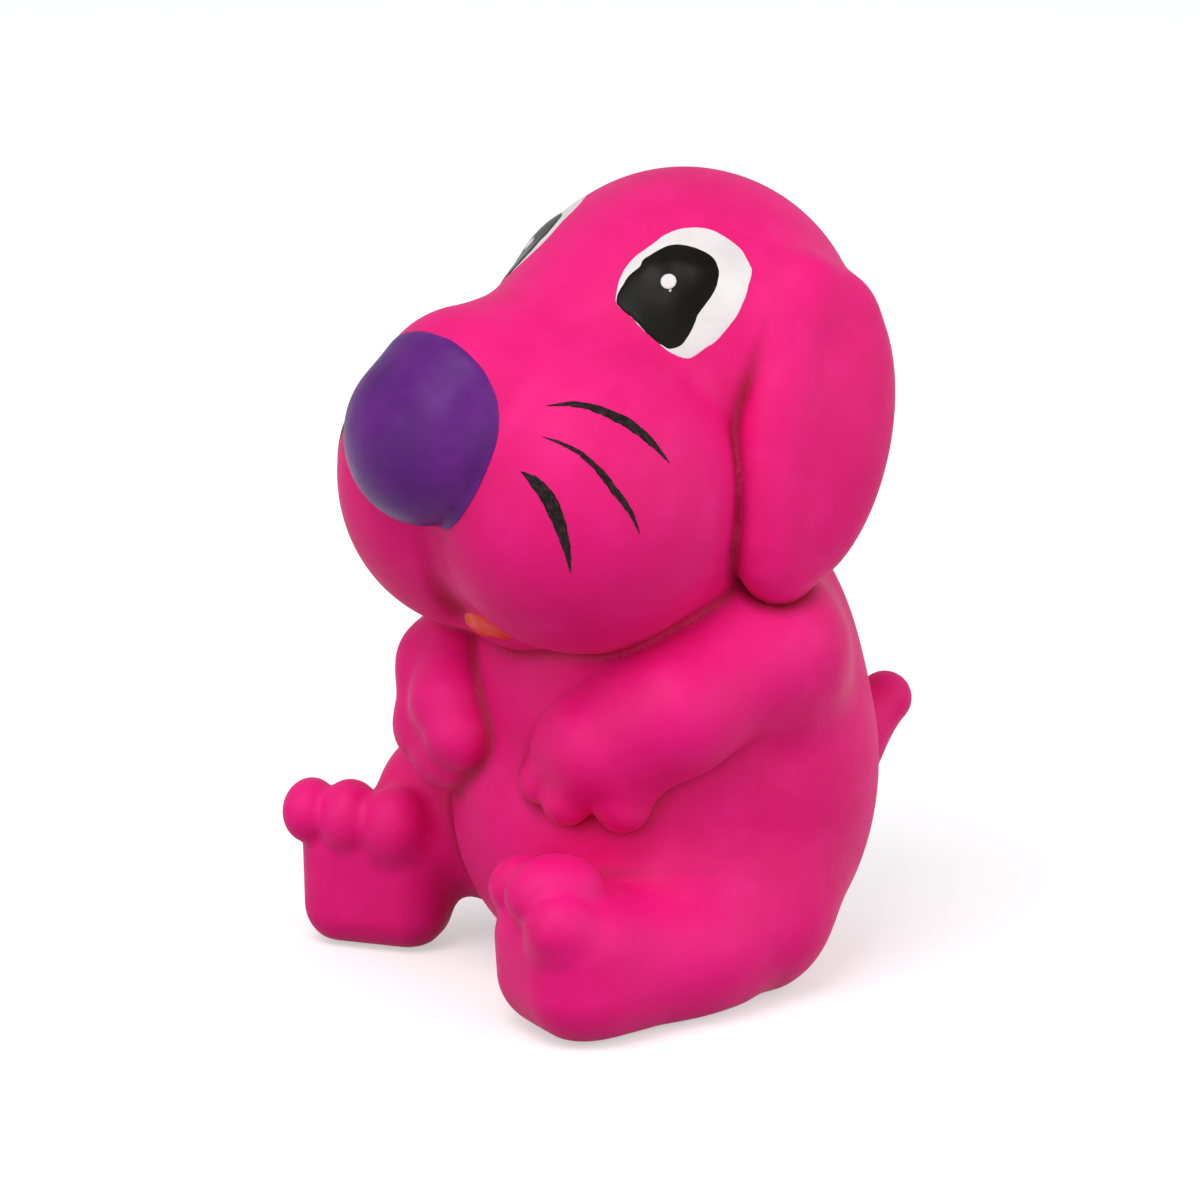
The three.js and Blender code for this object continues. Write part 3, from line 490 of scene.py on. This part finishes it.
def mesh_object(name, verts, faces):
    """Object of a mesh of quads, given in millimetres in the frame of the fields."""
    data = bpy.data.meshes.new(name)
    verts, faces = np.asarray(verts, float), np.asarray(faces)
    if volume(verts, faces) < 0:
        faces = faces[:, ::-1]
    co = ((verts + SHIFT) * MM).astype(F)
    data.vertices.add(len(co))
    data.vertices.foreach_set("co", co.ravel())
    data.loops.add(faces.size)
    data.loops.foreach_set("vertex_index", faces.ravel().astype(np.int32))
    data.polygons.add(len(faces))
    data.polygons.foreach_set("loop_start", np.arange(0, faces.size, 4, dtype=np.int32))
    data.polygons.foreach_set("loop_total", np.full(len(faces), 4, np.int32))
    data.polygons.foreach_set("use_smooth", np.full(len(faces), True))
    data.update(calc_edges=True)
    data.validate()
    data.set_sharp_from_angle(angle=SHARP_ANGLE)
    obj = bpy.data.objects.new(name, data)
    bpy.context.scene.collection.objects.link(obj)
    return obj


def largest(verts, faces):
    """The biggest connected body of a mesh."""
    parent = np.arange(len(verts))
    edges = np.concatenate([faces[:, [0, 1]], faces[:, [1, 2]], faces[:, [2, 3]]])
    while True:
        a, b = parent[edges[:, 0]], parent[edges[:, 1]]
        low = np.minimum(a, b)
        new = parent.copy()
        np.minimum.at(new, a, low)
        np.minimum.at(new, b, low)
        new = new[new]
        if (new == parent).all():
            break
        parent = new
    roots, counts = np.unique(parent, return_counts=True)
    keep = parent == roots[counts.argmax()]
    renumber = np.cumsum(keep) - 1
    return verts[keep], renumber[faces[keep[faces[:, 0]]]]


def in_parts(work, points, size=CHUNK):
    """What work makes of the points, a part at a time in threads, joined again."""
    with ThreadPoolExecutor(4) as pool:
        parts = pool.map(work, [points[i:i + size] for i in range(0, len(points), size)])
        return np.concatenate(list(parts))


def shade(d):
    """Painted shade by the distance to the second nearest part: none 3 mm off it or 1.2 mm inside.
    """
    return np.clip(F(1.1) - d / F(2.7), 0, 1) ** 1.5 * np.clip(1 + d / F(1.2), 0, 1)


def crease_shade(p):
    """Painted shade: 1 deep in creases between two parts, 0 where only one is near, and along the
    mouth's groove.
    """
    f = figure(p)
    ears, front = f["ears"], np.minimum(f["head"], f["nose"])
    near = np.minimum(np.maximum(front, ears), np.maximum(f["body"], np.minimum(front, ears)))
    limbs = np.sort(np.stack([f["torso"], *(f[n] for n in LIMBS)]), axis=0)[1]
    in_front = 1 - ramp(p[..., 1], -15, 0)
    q = head_frame(p)
    groove = np.clip(1 - mouth_line(q) / F(1.9), 0, 1)
    groove = groove * (F(0.8) - F(0.65) * ramp(q[..., 2], 68, 77))
    return np.maximum(np.maximum(shade(near), groove), shade(limbs) * in_front)


def formed(name, field, low, high, step):
    """Mesh of a field's surface inside a box. Rubber gets the painted shade of its creases as an
    attribute.
    """
    step = step * 1
    low, high = np.array(low, F), np.array(high, F)
    n = np.ceil((high - low) / step).astype(int) + 1
    axes = [low[i] + F(step) * np.arange(n[i], dtype=F) for i in range(3)]
    grid = np.stack(np.meshgrid(*axes, indexing="ij"), -1)
    verts, faces = largest(*surface_nets(in_parts(field, grid, SLAB), low, step))
    verts = in_parts(lambda part: settle(field, part), verts)
    obj = mesh_object(name, verts, faces)
    # painted shade: how deep each point of the rubber lies in creases, for darkening its colour
    if name.endswith("_rubber"):
        values = in_parts(crease_shade, verts).astype(F)
        if len(values) == len(obj.data.vertices):
            obj.data.attributes.new("crease_shade", "FLOAT", "POINT").data.foreach_set("value", values)
    return obj


# ---------------------------------------------------------------- paint films

FILM_DEPTH = 0.12  # how far the underside of a film lies in the rubber
UV_MM = 10  # millimetres to one unit of a film's UV map
FAR_SHIFT = -1.2  # from the mirror image of the left eye's paint to the right one's, across


def skin(p):
    f = figure(p)
    return np.minimum(f["high"], f["low"])


def from_head(q):
    """Points or directions of the head's frame in the model's frame."""
    return (np.asarray(q, F) @ HEAD_TURN.T).astype(F)


def cast(p, direction, reach=16.0):
    """Points of the skin below p along a direction."""
    p = p - direction * F(reach)
    gone = np.zeros(len(p), F)
    for _ in range(70):
        step = skin(p) * F(0.6)
        step = np.where(gone < 3 * reach, step, 0)
        p = p + direction * step[:, None]
        gone = gone + step
    return p


def outward(p):
    n = slope(skin, p)
    return n / (np.linalg.norm(n, axis=1, keepdims=True) + F(1e-9))


def spline(p, i, u):
    """Points a share u of the way from p[i + 1] to p[i + 2], on the smooth curve through p."""
    a, b, c, d = (p[(i + o) % len(p)] for o in range(4))
    square, cube = 2 * a - 5 * b + 4 * c - d, 3 * b - a - 3 * c + d
    return 0.5 * (2 * b + (c - a) * u + square * u ** 2 + cube * u ** 3)


def evenly(q, count, endpoint=True):
    """Points at equal steps along a fine line of points."""
    run = np.concatenate([[0], np.cumsum(np.linalg.norm(np.diff(q, axis=0), axis=1))])
    s = np.linspace(0, run[-1], count, endpoint=endpoint)
    return np.stack([np.interp(s, run, q[:, j]) for j in range(q.shape[1])], 1)


def closed_curve(points, count):
    """Smooth closed curve through points, evenly spread."""
    p = np.asarray(points, float)
    t = np.linspace(0, len(p), len(p) * 12, endpoint=False)
    i = t.astype(int)
    q = spline(p, i - 1, (t - i)[:, None])
    return evenly(np.concatenate([q, q[:1]]), count, endpoint=False)


def open_curve(points, count):
    """Smooth curve from the first point to the last, evenly spread."""
    p = np.asarray(points, float)
    p = np.concatenate([2 * p[:1] - p[1:2], p, 2 * p[-1:] - p[-2:-1]])
    k = len(p) - 3
    t = np.linspace(0, k, 40 * k)
    i = np.minimum(t.astype(int), k - 1)
    return evenly(spline(p, i, (t - i)[:, None]), count)


def wobble(t, size, seed, waves=(5, 9, 14, 23, 37)):
    """Slight unevenness of a brushed edge; t runs from 0 to 1 along it."""
    rng = np.random.default_rng(seed)
    total = 0
    for w in waves:
        wave = np.sin(2 * np.pi * (w * t + rng.random()))
        total = total + wave * rng.uniform(0.4, 1) / math.sqrt(w)
    return total * size


def film(name, p, height, uv, round_trip):
    """Film of paint on points of the surface, as thick as height says.

    The rows of height run from end to end or, with round_trip set, from the middle out. Such a
    film is open in its middle, inside its first row.
    """
    rows, cols = height.shape
    height, normals = height.astype(F).reshape(-1, 1), outward(p)
    verts = np.concatenate([p + normals * height, p - normals * F(FILM_DEPTH)])
    index = np.arange(rows * cols).reshape(rows, cols)
    ahead = np.roll(index, -1, 1)
    last = cols if round_trip else cols - 1
    top = np.stack([index[:-1, :last], ahead[:-1, :last], ahead[1:, :last], index[1:, :last]], -1)
    top = top.reshape(-1, 4)
    if round_trip:
        rim = index[-1]
    else:
        rim = np.concatenate([index[0, :-1], index[:-1, -1], index[-1, :0:-1], index[:0:-1, 0]])
    following = np.roll(rim, -1)
    side = np.stack([rim, rim + rows * cols, following + rows * cols, following], 1)
    obj = mesh_object(name, verts, np.concatenate([top, (top + rows * cols)[:, ::-1], side]))
    layer = obj.data.uv_layers.new(name="film")
    loops = np.empty(len(obj.data.loops), np.int32)
    obj.data.loops.foreach_get("vertex_index", loops)
    both = np.concatenate([uv.reshape(-1, 2)] * 2)
    layer.data.foreach_set("uv", both[loops].astype(F).ravel())
    return obj


def spot(name, plane, outline, rings, thickness, seed, mirrored, uneven):
    """Film inside an outline drawn on a plane and thrown onto the skin."""
    centre, normal, across, upward = (np.asarray(v, float) for v in plane)
    count = len(outline)
    middle = outline.mean(0)
    edge = outline - middle
    edge_wobble = wobble(np.arange(count) / count, uneven, seed)
    edge = edge * (1 + edge_wobble / np.linalg.norm(edge, axis=1))[:, None]
    share = 1 - (1 - np.linspace(0.02, 1, rings)) ** 1.5
    flat = middle + edge[None] * share[:, None, None]
    q = centre + flat[..., :1] * across + flat[..., 1:] * upward
    down = -normal
    if mirrored:
        q, down = (q + across * FAR_SHIFT) * [-1, 1, 1], down * [-1, 1, 1]
    p = cast(from_head(q).reshape(-1, 3), from_head(down))
    height = thickness * np.sqrt(np.maximum(1 - share ** 10, 0))[:, None] * np.ones(count)
    return film(name, p, height, flat / UV_MM, True)


def stroke(name, path, widths, thickness, seed, mirrored, ragged=0.18, count=90, across=9):
    """Brushed film along a path on the skin."""
    line = open_curve(path, count)
    if mirrored:
        line = line * [-1, 1, 1]
    line = settle(skin, from_head(line), 4, 2.0)
    n = outward(line)
    along = np.gradient(line, axis=0)
    along /= np.linalg.norm(along, axis=1, keepdims=True)
    side = np.cross(n, along)
    t = np.linspace(0, 1, count)
    half = np.interp(t, np.linspace(0, 1, len(widths)), widths) / 2
    calm = np.minimum(1, half / 0.5)  # less ragged where the stroke is thin
    rng = np.random.default_rng(seed)
    one = wobble(t, ragged, rng.integers(1e6), (7, 13, 21, 34, 55)) * calm
    two = wobble(t, ragged * 0.6, rng.integers(1e6), (5, 11, 23, 31)) * calm
    v = np.linspace(-1, 1, across)
    low, high = -half + one, half + two
    offset = low[:, None] + (high - low)[:, None] * (v[None] + 1) / 2
    p = line[:, None] + side[:, None] * offset[..., None]
    p = settle(skin, p.reshape(-1, 3), 3, 1.0)
    height = thickness * np.sqrt(np.maximum(1 - np.abs(v) ** 6, 0))[None] * np.ones((count, 1))
    height[0] = height[-1] = 0
    uv = np.stack([np.repeat(t[:, None], across, 1) * 2, offset / UV_MM], -1)
    return film(name, p, height, uv, False)


# Planes: centre, normal, across and upward in the head's frame. Outlines: across and upward.
EYE_PLANE = (
    (18.9, -10.7, 120.4), (0.6616, -0.4611, 0.5914), (0.5718, 0.8204, 0), (-0.4852, 0.3382, 0.8064),
)
EYE = [
    (-11.57, -0.6), (-10.99, 1.61), (-10.31, 3.39), (-9.25, 5.14), (-7.25, 7.16), (-4.79, 8.95),
    (-2.96, 10.52), (-0.7, 11.45), (1.85, 11.8), (4.04, 11.56), (6.18, 10.6), (8.28, 8.95),
    (9.76, 7.36), (10.56, 5.21), (10.99, 3.09), (10.24, 0.53), (9.64, -1.51), (8.41, -4.11),
    (6.74, -6.31), (4.77, -8.28), (2.51, -9.79), (0.9, -10.9), (-0.58, -11.4), (-2.95, -10.7),
    (-5.08, -8.97), (-6.89, -7.3), (-8.95, -4.86), (-10.72, -3.06), (-11.5, -2.0),
]
PUPIL = [
    (-11.44, -0.61), (-10.28, 1.54), (-9.08, 3.25), (-7.43, 4.71), (-6.72, 5.93), (-5.42, 6.87),
    (-3.81, 7.79), (-1.9, 8.45), (-0.05, 8.25), (2.08, 7.51), (3.88, 6.38), (5.06, 5.25),
    (5.62, 3.42), (5.63, 2.01), (5.04, -0.01), (4.01, -1.91), (2.04, -4.3), (1.2, -6.08),
    (0.37, -7.57), (-0.79, -9.1), (-1.94, -9.79), (-3.41, -10.1), (-5.08, -8.97), (-6.89, -7.3),
    (-8.95, -4.86), (-10.72, -3.06), (-11.5, -2.0),
]
GLINT = [(-2.84 + 1.38 * math.cos(a), 1.26 + 1.42 * math.sin(a))
         for a in np.linspace(0, 2 * math.pi, 12, endpoint=False)]
WHISKERS = [  # points of the path and widths along it
    ([(20.6, -41.9, 106.7), (23.5, -38.8, 107), (25.8, -36.6, 106.6), (27.8, -34.7, 105.6),
      (29.7, -32.7, 104.3), (31.5, -30.7, 102.3), (33.3, -28.6, 99.5), (34.3, -27.2, 97.2)],
     (0.1, 0.9, 1.3, 1.6, 1.9, 1.7, 1.1, 0.1)),
    ([(22.8, -44.6, 102.4), (25.5, -43, 101.6), (28.2, -41.2, 100.2), (30.8, -39.3, 97.5),
      (32.9, -37.5, 94), (34.3, -35.6, 90.7), (35, -34, 86.7)],
     (0.1, 0.6, 0.8, 1, 1.3, 1.2, 0.8, 0.1)),
    ([(21.8, -48.3, 97), (24.1, -47.5, 95.7), (26.3, -46.5, 93.4), (27.9, -45.8, 90.3),
      (28.8, -45, 86.7), (29.1, -44.3, 83.4), (28.8, -43.6, 80.5)],
     (0.1, 1.8, 2.4, 2.5, 2.1, 1.6, 0.9, 0.1)),
]
TONGUE_PLANE = ((1.5, -39.5, 65), (0.1, -0.97, -0.1), (1, 0.1, 0), (0, 0, 1))
TONGUE = [
    (-4.6, 1.2), (-2.4, 1.9), (0, 2.1), (2, 1.2), (4.2, 0), (5.6, -1.2), (4.2, -2), (2.4, -2.3),
    (0.6, -2.1), (-1.4, -2.7), (-3.6, -2.4), (-5, -0.8),
]


# ---------------------------------------------------------------- node materials

MIX_A, MIX_B, MIX_RESULT = 6, 7, 2  # colour sockets of the mix node


def srgb(text):
    """Linear colour with alpha from a screen colour such as #ec0c7c."""
    channels = [int(text[i:i + 2], 16) / 255 for i in (1, 3, 5)]
    linear = [c / 12.92 if c <= 0.04045 else ((c + 0.055) / 1.055) ** 2.4 for c in channels]
    return (*linear, 1)


class Nodes:
    """Short way to write a node tree."""

    def __init__(self, name):
        self.material = bpy.data.materials.new(name)
        self.material.use_nodes = True
        self.tree = self.material.node_tree
        self.shader = self.tree.nodes["Principled BSDF"]

    def add(self, kind, **settings):
        node = self.tree.nodes.new(kind)
        for key, value in settings.items():
            setattr(node, key, value)
        return node

    def put(self, node, name, value):
        socket = node.inputs[name]
        if isinstance(value, bpy.types.NodeSocket):
            self.tree.links.new(value, socket)
        else:
            socket.default_value = value

    def where(self):
        return self.add("ShaderNodeTexCoord").outputs["Object"]

    def noise(self, scale, detail, roughness=0.55, at=None, distortion=0.0):
        node = self.add("ShaderNodeTexNoise")
        self.put(node, "Vector", at or self.where())
        for name, number in (("Scale", scale), ("Detail", detail), ("Roughness", roughness),
                             ("Distortion", distortion)):
            self.put(node, name, number)
        return node.outputs["Fac"]

    def ramp(self, value, low, high, start=0.0, end=1.0):
        node = self.add("ShaderNodeMapRange")
        for name, number in (("Value", value), ("From Min", low), ("From Max", high),
                             ("To Min", start), ("To Max", end)):
            self.put(node, name, number)
        return node.outputs["Result"]

    def math(self, operation, a, b):
        node = self.add("ShaderNodeMath", operation=operation)
        self.put(node, 0, a)
        self.put(node, 1, b)
        return node.outputs[0]

    def mix(self, factor, a, b):
        node = self.add("ShaderNodeMix", data_type="RGBA")
        self.put(node, 0, factor)
        self.put(node, MIX_A, a)
        self.put(node, MIX_B, b)
        return node.outputs[MIX_RESULT]

    def cells(self, scale):
        node = self.add("ShaderNodeTexVoronoi")
        self.put(node, "Vector", self.where())
        self.put(node, "Scale", scale)
        return node.outputs["Distance"]

    def bump(self, height, strength, distance):
        node = self.add("ShaderNodeBump")
        self.put(node, "Strength", strength)
        self.put(node, "Distance", distance)
        self.put(node, "Height", height)
        self.put(self.shader, "Normal", node.outputs["Normal"])

    def set(self, **values):
        """Sets sockets of the shader, named with underscores for spaces; gives the material."""
        for key, value in values.items():
            self.put(self.shader, key.replace("_", " "), value)
        return self.material


def rubber():
    """Matt pink rubber: faint clouds of tone, painted shade in the creases, a little dust and a
    fine grain.
    """
    m = Nodes("pink_rubber")
    base, deep, pale = srgb("#ec0c7c"), srgb("#e0086f"), srgb("#f2208a")
    cloud = m.ramp(m.noise(38, 5), 0.35, 0.68)
    colour = m.mix(cloud, deep, base)
    colour = m.mix(m.ramp(m.noise(160, 3), 0.5, 0.75, 0, 0.35), colour, pale)
    # painted shade: creases darkened towards a deep red-brown, broken up by a fine noise
    crease_shade_amount = m.add("ShaderNodeAttribute", attribute_name="crease_shade").outputs["Fac"]
    crease_shade_amount = m.math("MULTIPLY", crease_shade_amount, m.ramp(m.noise(240, 3), 0.2, 0.8, 0.8, 1))
    colour = m.mix(crease_shade_amount, colour, srgb("#8c0a14"))
    dust = m.ramp(m.cells(420), 0.05, 0.015)
    dust = m.math("MULTIPLY", dust, m.ramp(m.noise(55, 2), 0.52, 0.62))
    colour = m.mix(m.math("MULTIPLY", dust, 0.35), colour, srgb("#f7c4d8"))
    fine, coarse = m.math("MULTIPLY", m.noise(900, 3), 0.5), m.noise(120, 4)
    grain = m.math("ADD", fine, coarse)
    m.bump(grain, 0.22, 0.0004)
    m.put(m.shader, "Base Color", colour)
    m.put(m.shader, "Roughness", m.ramp(m.noise(70, 4), 0.3, 0.7, 0.5, 0.64))
    return m.set(Specular_IOR_Level=0.23, Sheen_Weight=0.06, Sheen_Roughness=0.4,
                 Sheen_Tint=srgb("#ff9ccd"))


def paint(name, tone, other, gloss, scale, bump, coat=0.0, level=0.3):
    """Brushed paint: tone broken up by a second one; with a coat its gloss is patchy."""
    m = Nodes(name)
    uneven = m.ramp(m.noise(scale, 5, 0.6), 0.38, 0.66)
    fine = m.ramp(m.noise(scale * 6, 3), 0.45, 0.8, 0, 0.4)
    colour = m.mix(fine, m.mix(uneven, srgb(other), srgb(tone)), srgb(other))
    m.put(m.shader, "Base Color", colour)
    m.put(m.shader, "Roughness", m.ramp(m.noise(scale * 1.5, 4), 0.3, 0.7, gloss, gloss + 0.12))
    m.bump(m.noise(scale * 4, 4), bump, 0.0003)
    if coat:
        level = m.ramp(m.noise(110, 1, 0.3, distortion=0.6), 0.42, 0.6, level * 0.35, level)
    return m.set(Specular_IOR_Level=level, Coat_Weight=coat, Coat_Roughness=0.12)


def dry_brush():
    """Black strokes with finer, paler streaks along them."""
    m = Nodes("black_paint")
    uv = m.add("ShaderNodeUVMap", uv_map="film").outputs["UV"]
    stretch = m.add("ShaderNodeMapping")
    m.put(stretch, "Vector", uv)
    m.put(stretch, "Scale", (7, 70, 1))
    hairs = m.ramp(m.noise(1, 4, 0.6, at=stretch.outputs["Vector"]), 0.5, 0.68)
    colour = m.mix(m.math("MULTIPLY", hairs, 0.5), srgb("#120d0b"), srgb("#6c4f54"))
    m.put(m.shader, "Base Color", colour)
    m.put(m.shader, "Roughness", m.ramp(m.noise(200, 3), 0.3, 0.7, 0.42, 0.6))
    m.bump(m.noise(1, 4, 0.6, at=stretch.outputs["Vector"]), 0.2, 0.0002)
    return m.set(Specular_IOR_Level=0.12)


def wadding():
    m = Nodes("wadding")
    web = m.noise(90, 8, 0.7, distortion=2.5)
    hairs = m.noise(500, 6, 0.8, distortion=4)
    both = m.math("ADD", m.math("MULTIPLY", web, 0.6), m.math("MULTIPLY", hairs, 0.4))
    colour = m.mix(m.ramp(both, 0.35, 0.65), srgb("#d8d0c4"), srgb("#f6f2ea"))
    m.put(m.shader, "Base Color", colour)
    m.put(m.shader, "Roughness", m.ramp(both, 0.3, 0.7, 0.85, 1))
    m.bump(both, 0.8, 0.002)
    return m.set(Specular_IOR_Level=0.15, Sheen_Weight=0.3, Sheen_Roughness=0.6)


def plastic():
    m = Nodes("squeaker_plastic")
    flow = m.noise(70, 4, 0.5, distortion=1)
    colour = m.mix(m.ramp(flow, 0.35, 0.65), srgb("#e6e2d8"), srgb("#f1eee6"))
    colour = m.mix(m.ramp(m.noise(900, 2), 0.66, 0.8, 0, 0.3), colour, srgb("#b9b2a2"))
    m.put(m.shader, "Base Color", colour)
    m.put(m.shader, "Roughness", m.ramp(m.noise(240, 3), 0.3, 0.7, 0.34, 0.5))
    m.bump(m.noise(600, 3), 0.1, 0.0002)
    return m.set(Specular_IOR_Level=0.45)


materials = {
    "pink_rubber": rubber(),
    "purple_paint": paint("purple_paint", "#65227f", "#53186e", 0.34, 90, 0.15, level=0.16),
    "white_paint": paint("white_paint", "#ebe7e5", "#ded7d6", 0.4, 70, 0.12),
    "gloss_black_paint": paint("gloss_black_paint", "#12110d", "#191711", 0.2, 90, 0.06,
                               coat=0.005, level=0.12),
    "red_paint": paint("red_paint", "#f23e12", "#e03210", 0.34, 150, 0.15),
    "black_paint": dry_brush(),
    "wadding": wadding(),
    "squeaker_plastic": plastic(),
}


def dressed(obj, body, slot, *nodes):
    """Gives a piece the material of its slot, hides the CAD nodes it stands for and, if given,
    hangs it on its body.
    """
    obj.data.materials.clear()
    obj.data.materials.append(materials[slot])
    if body:
        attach(obj, body)
    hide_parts(*nodes)


# ---------------------------------------------------------------- pieces of rubber and wadding

STEP, WADDING_STEP = 0.8, 1.8

for name, field, low, high in (
    ("torso", torso_piece, (-37, -40, -2), (37, 40, 88)),
    ("arm_left", limb_piece("arm_left"), (2, -44, 28), (46, 20, 76)),
    ("arm_right", limb_piece("arm_right"), (-46, -46, 28), (4, 20, 76)),
    ("leg_left", limb_piece("leg_left"), (2, -53, -2), (48, 18, 36)),
    ("leg_right", limb_piece("leg_right"), (-50, -53, -2), (-2, 18, 42)),
):
    piece = formed(f"{name}_rubber", field, low, high, STEP)
    dressed(piece, "body", "pink_rubber", "torso_skin" if name == "torso" else name)
    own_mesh(piece)

piece = formed("head_rubber", head_piece, (-42, -58, 53), (46, 40, 139), STEP)
dressed(piece, "head", "pink_rubber", "head_skin")
piece = formed("nose_rubber", nose_piece, (-20, -67, 80), (28, -30, 122), STEP)
dressed(piece, "head", "pink_rubber", "nose")

for name, body, low, high in (
    ("ear_left", "left_ear", (12, -20, 62), (50, 34, 132)),
    ("ear_right", "right_ear", (-50, -26, 62), (-12, 30, 132)),
):
    piece = formed(f"{name}_rubber", ear_piece(name), low, high, STEP)
    dressed(piece, None, "pink_rubber", name)
    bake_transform(piece)

piece = formed("tail_rubber", limb_piece("tail"), (-14, 20, 12), (14, 54, 48), STEP)
dressed(piece, None, "pink_rubber", "tail")
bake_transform(piece)

piece = formed("torso_wadding", stuffing("torso"), (-36, -32, 0), (36, 38, 84), WADDING_STEP)
dressed(piece, "body", "wadding", "torso_filling")
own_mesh(piece)
piece = formed("head_wadding", stuffing("head"), (-40, -54, 58), (44, 36, 136), WADDING_STEP)
dressed(piece, "head", "wadding", "head_filling")

# ---------------------------------------------------------------- paint

EYE_FILMS = (  # name, outline, rings, thickness, step of the seed, unevenness and slot
    ("eye", closed_curve(EYE, 150), 18, 0.13, 0, 0.1, "white_paint"),
    ("pupil", closed_curve(PUPIL, 120), 15, 0.26, 2, 0.08, "gloss_black_paint"),
    ("glint", closed_curve(GLINT, 32), 6, 0.36, 4, 0.02, "white_paint"),
)
for label, mirrored in (("left", False), ("right", True)):
    seed = 40 + mirrored
    for part, outline, rings, thickness, step, uneven, slot in EYE_FILMS:
        piece = spot(f"{part}_{label}_paint", EYE_PLANE, outline, rings, thickness, seed + step,
                     mirrored, uneven)
        dressed(piece, "head", slot, f"{part}_{label}")
    for i, (path, widths) in enumerate(WHISKERS, 1):
        piece = stroke(f"whisker_{label}_{i}_paint", path, widths, 0.12, seed + 10 * i, mirrored)
        dressed(piece, "head", "black_paint", f"whisker_{label}_{i}")

piece = spot("tongue_paint", TONGUE_PLANE, closed_curve(TONGUE, 72), 9, 0.2, 77, False, 0.08)
dressed(piece, "head", "red_paint", "tongue")


def nose_cap():
    """Paint over the front of the nose ball, with a brushed edge near its widest part."""
    count, rings, radii = 128, 40, (16, 12.8, 16.3)
    a = np.linspace(0, 2 * np.pi, count, endpoint=False)  # from the dog's left over the top
    share = np.linspace(0.002, 1, rings)
    edge = 96 + 6 * np.maximum(np.cos(a - 0.5), 0) ** 2 - 3 * np.maximum(np.cos(a + 0.7), 0) ** 2
    edge = edge - np.where(np.sin(a) > 0, 12.5, 12) * np.sin(a) ** 4
    edge = edge + wobble(a / (2 * np.pi), 1.0, 5, (2, 3, 5, 9, 16, 27))
    polar = np.radians(edge)[None] * share[:, None]  # angle from the tip
    q = np.stack([np.sin(polar) * np.cos(a), -np.cos(polar), np.sin(polar) * np.sin(a)], -1)
    q = (q * radii) @ turn(rx=-6).T + NOSE[0]
    p = settle(skin, from_head(q.reshape(-1, 3)), 8, 1.0)
    height = 0.22 * np.sqrt(np.maximum(1 - share ** 24, 0))[:, None] * np.ones(count)
    uv = np.stack([np.cos(a) * share[:, None], np.sin(a) * share[:, None]], -1)
    return film("nose_paint", p, height, uv, True)


dressed(nose_cap(), "head", "purple_paint", "nose")

for name in ("squeaker_cup", "squeaker_reed", "squeaker_cap"):
    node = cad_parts[name]
    if not node.material_slots:
        node.data.materials.append(materials["squeaker_plastic"])
    for material_slot in node.material_slots:
        material_slot.material = materials["squeaker_plastic"]

# ---------------------------------------------------------------- floor, light and background

scene = bpy.context.scene
scene.view_settings.view_transform = "Standard"
FLOOR_HALF = 3000


def seen_directly(tree):
    """1 for camera, glossy and transmission rays."""
    path = tree.nodes.new("ShaderNodeLightPath")
    total = path.outputs["Is Camera Ray"]
    for name in ("Is Glossy Ray", "Is Transmission Ray"):
        node = tree.nodes.new("ShaderNodeMath")
        node.operation = "MAXIMUM"
        tree.links.new(total, node.inputs[0])
        tree.links.new(path.outputs[name], node.inputs[1])
        total = node.outputs[0]
    return total


world = bpy.data.worlds.new("studio")
scene.world = world
world.use_nodes = True
tree = world.node_tree
room = tree.nodes["Background"]
room.inputs["Color"].default_value = (0.96, 0.97, 1, 1)
room.inputs["Strength"].default_value = 0.56
white = tree.nodes.new("ShaderNodeBackground")
white.inputs["Color"].default_value = (1, 1, 1, 1)
white.inputs["Strength"].default_value = 1
both = tree.nodes.new("ShaderNodeMixShader")
tree.links.new(tree.nodes.new("ShaderNodeLightPath").outputs["Is Camera Ray"], both.inputs[0])
tree.links.new(room.outputs[0], both.inputs[1])
tree.links.new(white.outputs[0], both.inputs[2])
tree.links.new(both.outputs[0], tree.nodes["World Output"].inputs["Surface"])

corners = [(x * FLOOR_HALF, y * FLOOR_HALF, 0) for x, y in ((-1, -1), (1, -1), (1, 1), (-1, 1))]
floor = mesh_object("floor", corners, [(0, 1, 2, 3)])
m = Nodes("floor")
seen = seen_directly(m.tree)
shown = m.mix(m.ramp(m.noise(3, 2), 0.3, 0.7), (0.66, 0.66, 0.66, 1), (0.69, 0.69, 0.69, 1))
m.put(m.shader, "Base Color", m.mix(seen, (0.3, 0.29, 0.3, 1), shown))
m.put(m.shader, "Emission Color", (1, 1, 1, 1))
m.put(m.shader, "Emission Strength", m.math("MULTIPLY", seen, 0.48))
m.set(Roughness=1.0, Specular_IOR_Level=0.0)
floor.data.materials.append(m.material)


def softbox(name, place, target, size, power):
    data = bpy.data.lights.new(name, "AREA")
    data.shape = "RECTANGLE"
    data.size = data.size_y = size
    data.energy = power
    lamp = bpy.data.objects.new(name, data)
    scene.collection.objects.link(lamp)
    lamp.location = place
    lamp.rotation_euler = (target - place).to_track_quat("-Z", "Y").to_euler()


middle = Vector((0, 0, 0.065))
view, side = Vector(back), Vector(right)
for name, towards, sideways, height, size, power in (  # metres towards the camera, right and up
    ("key", 0.8, -0.35, 1.15, 0.9, 11),
    ("fill", 1.1, 0.9, 0.1, 1.1, 5),
    ("low", 0.9, -1.0, 0.05, 1.1, 5.4),
    ("side", 0.15, 1.1, 0.25, 0.8, 2.3),
):
    place = middle + view * towards + side * sideways + Vector((0, 0, height))
    softbox(name, place, middle, size, power)
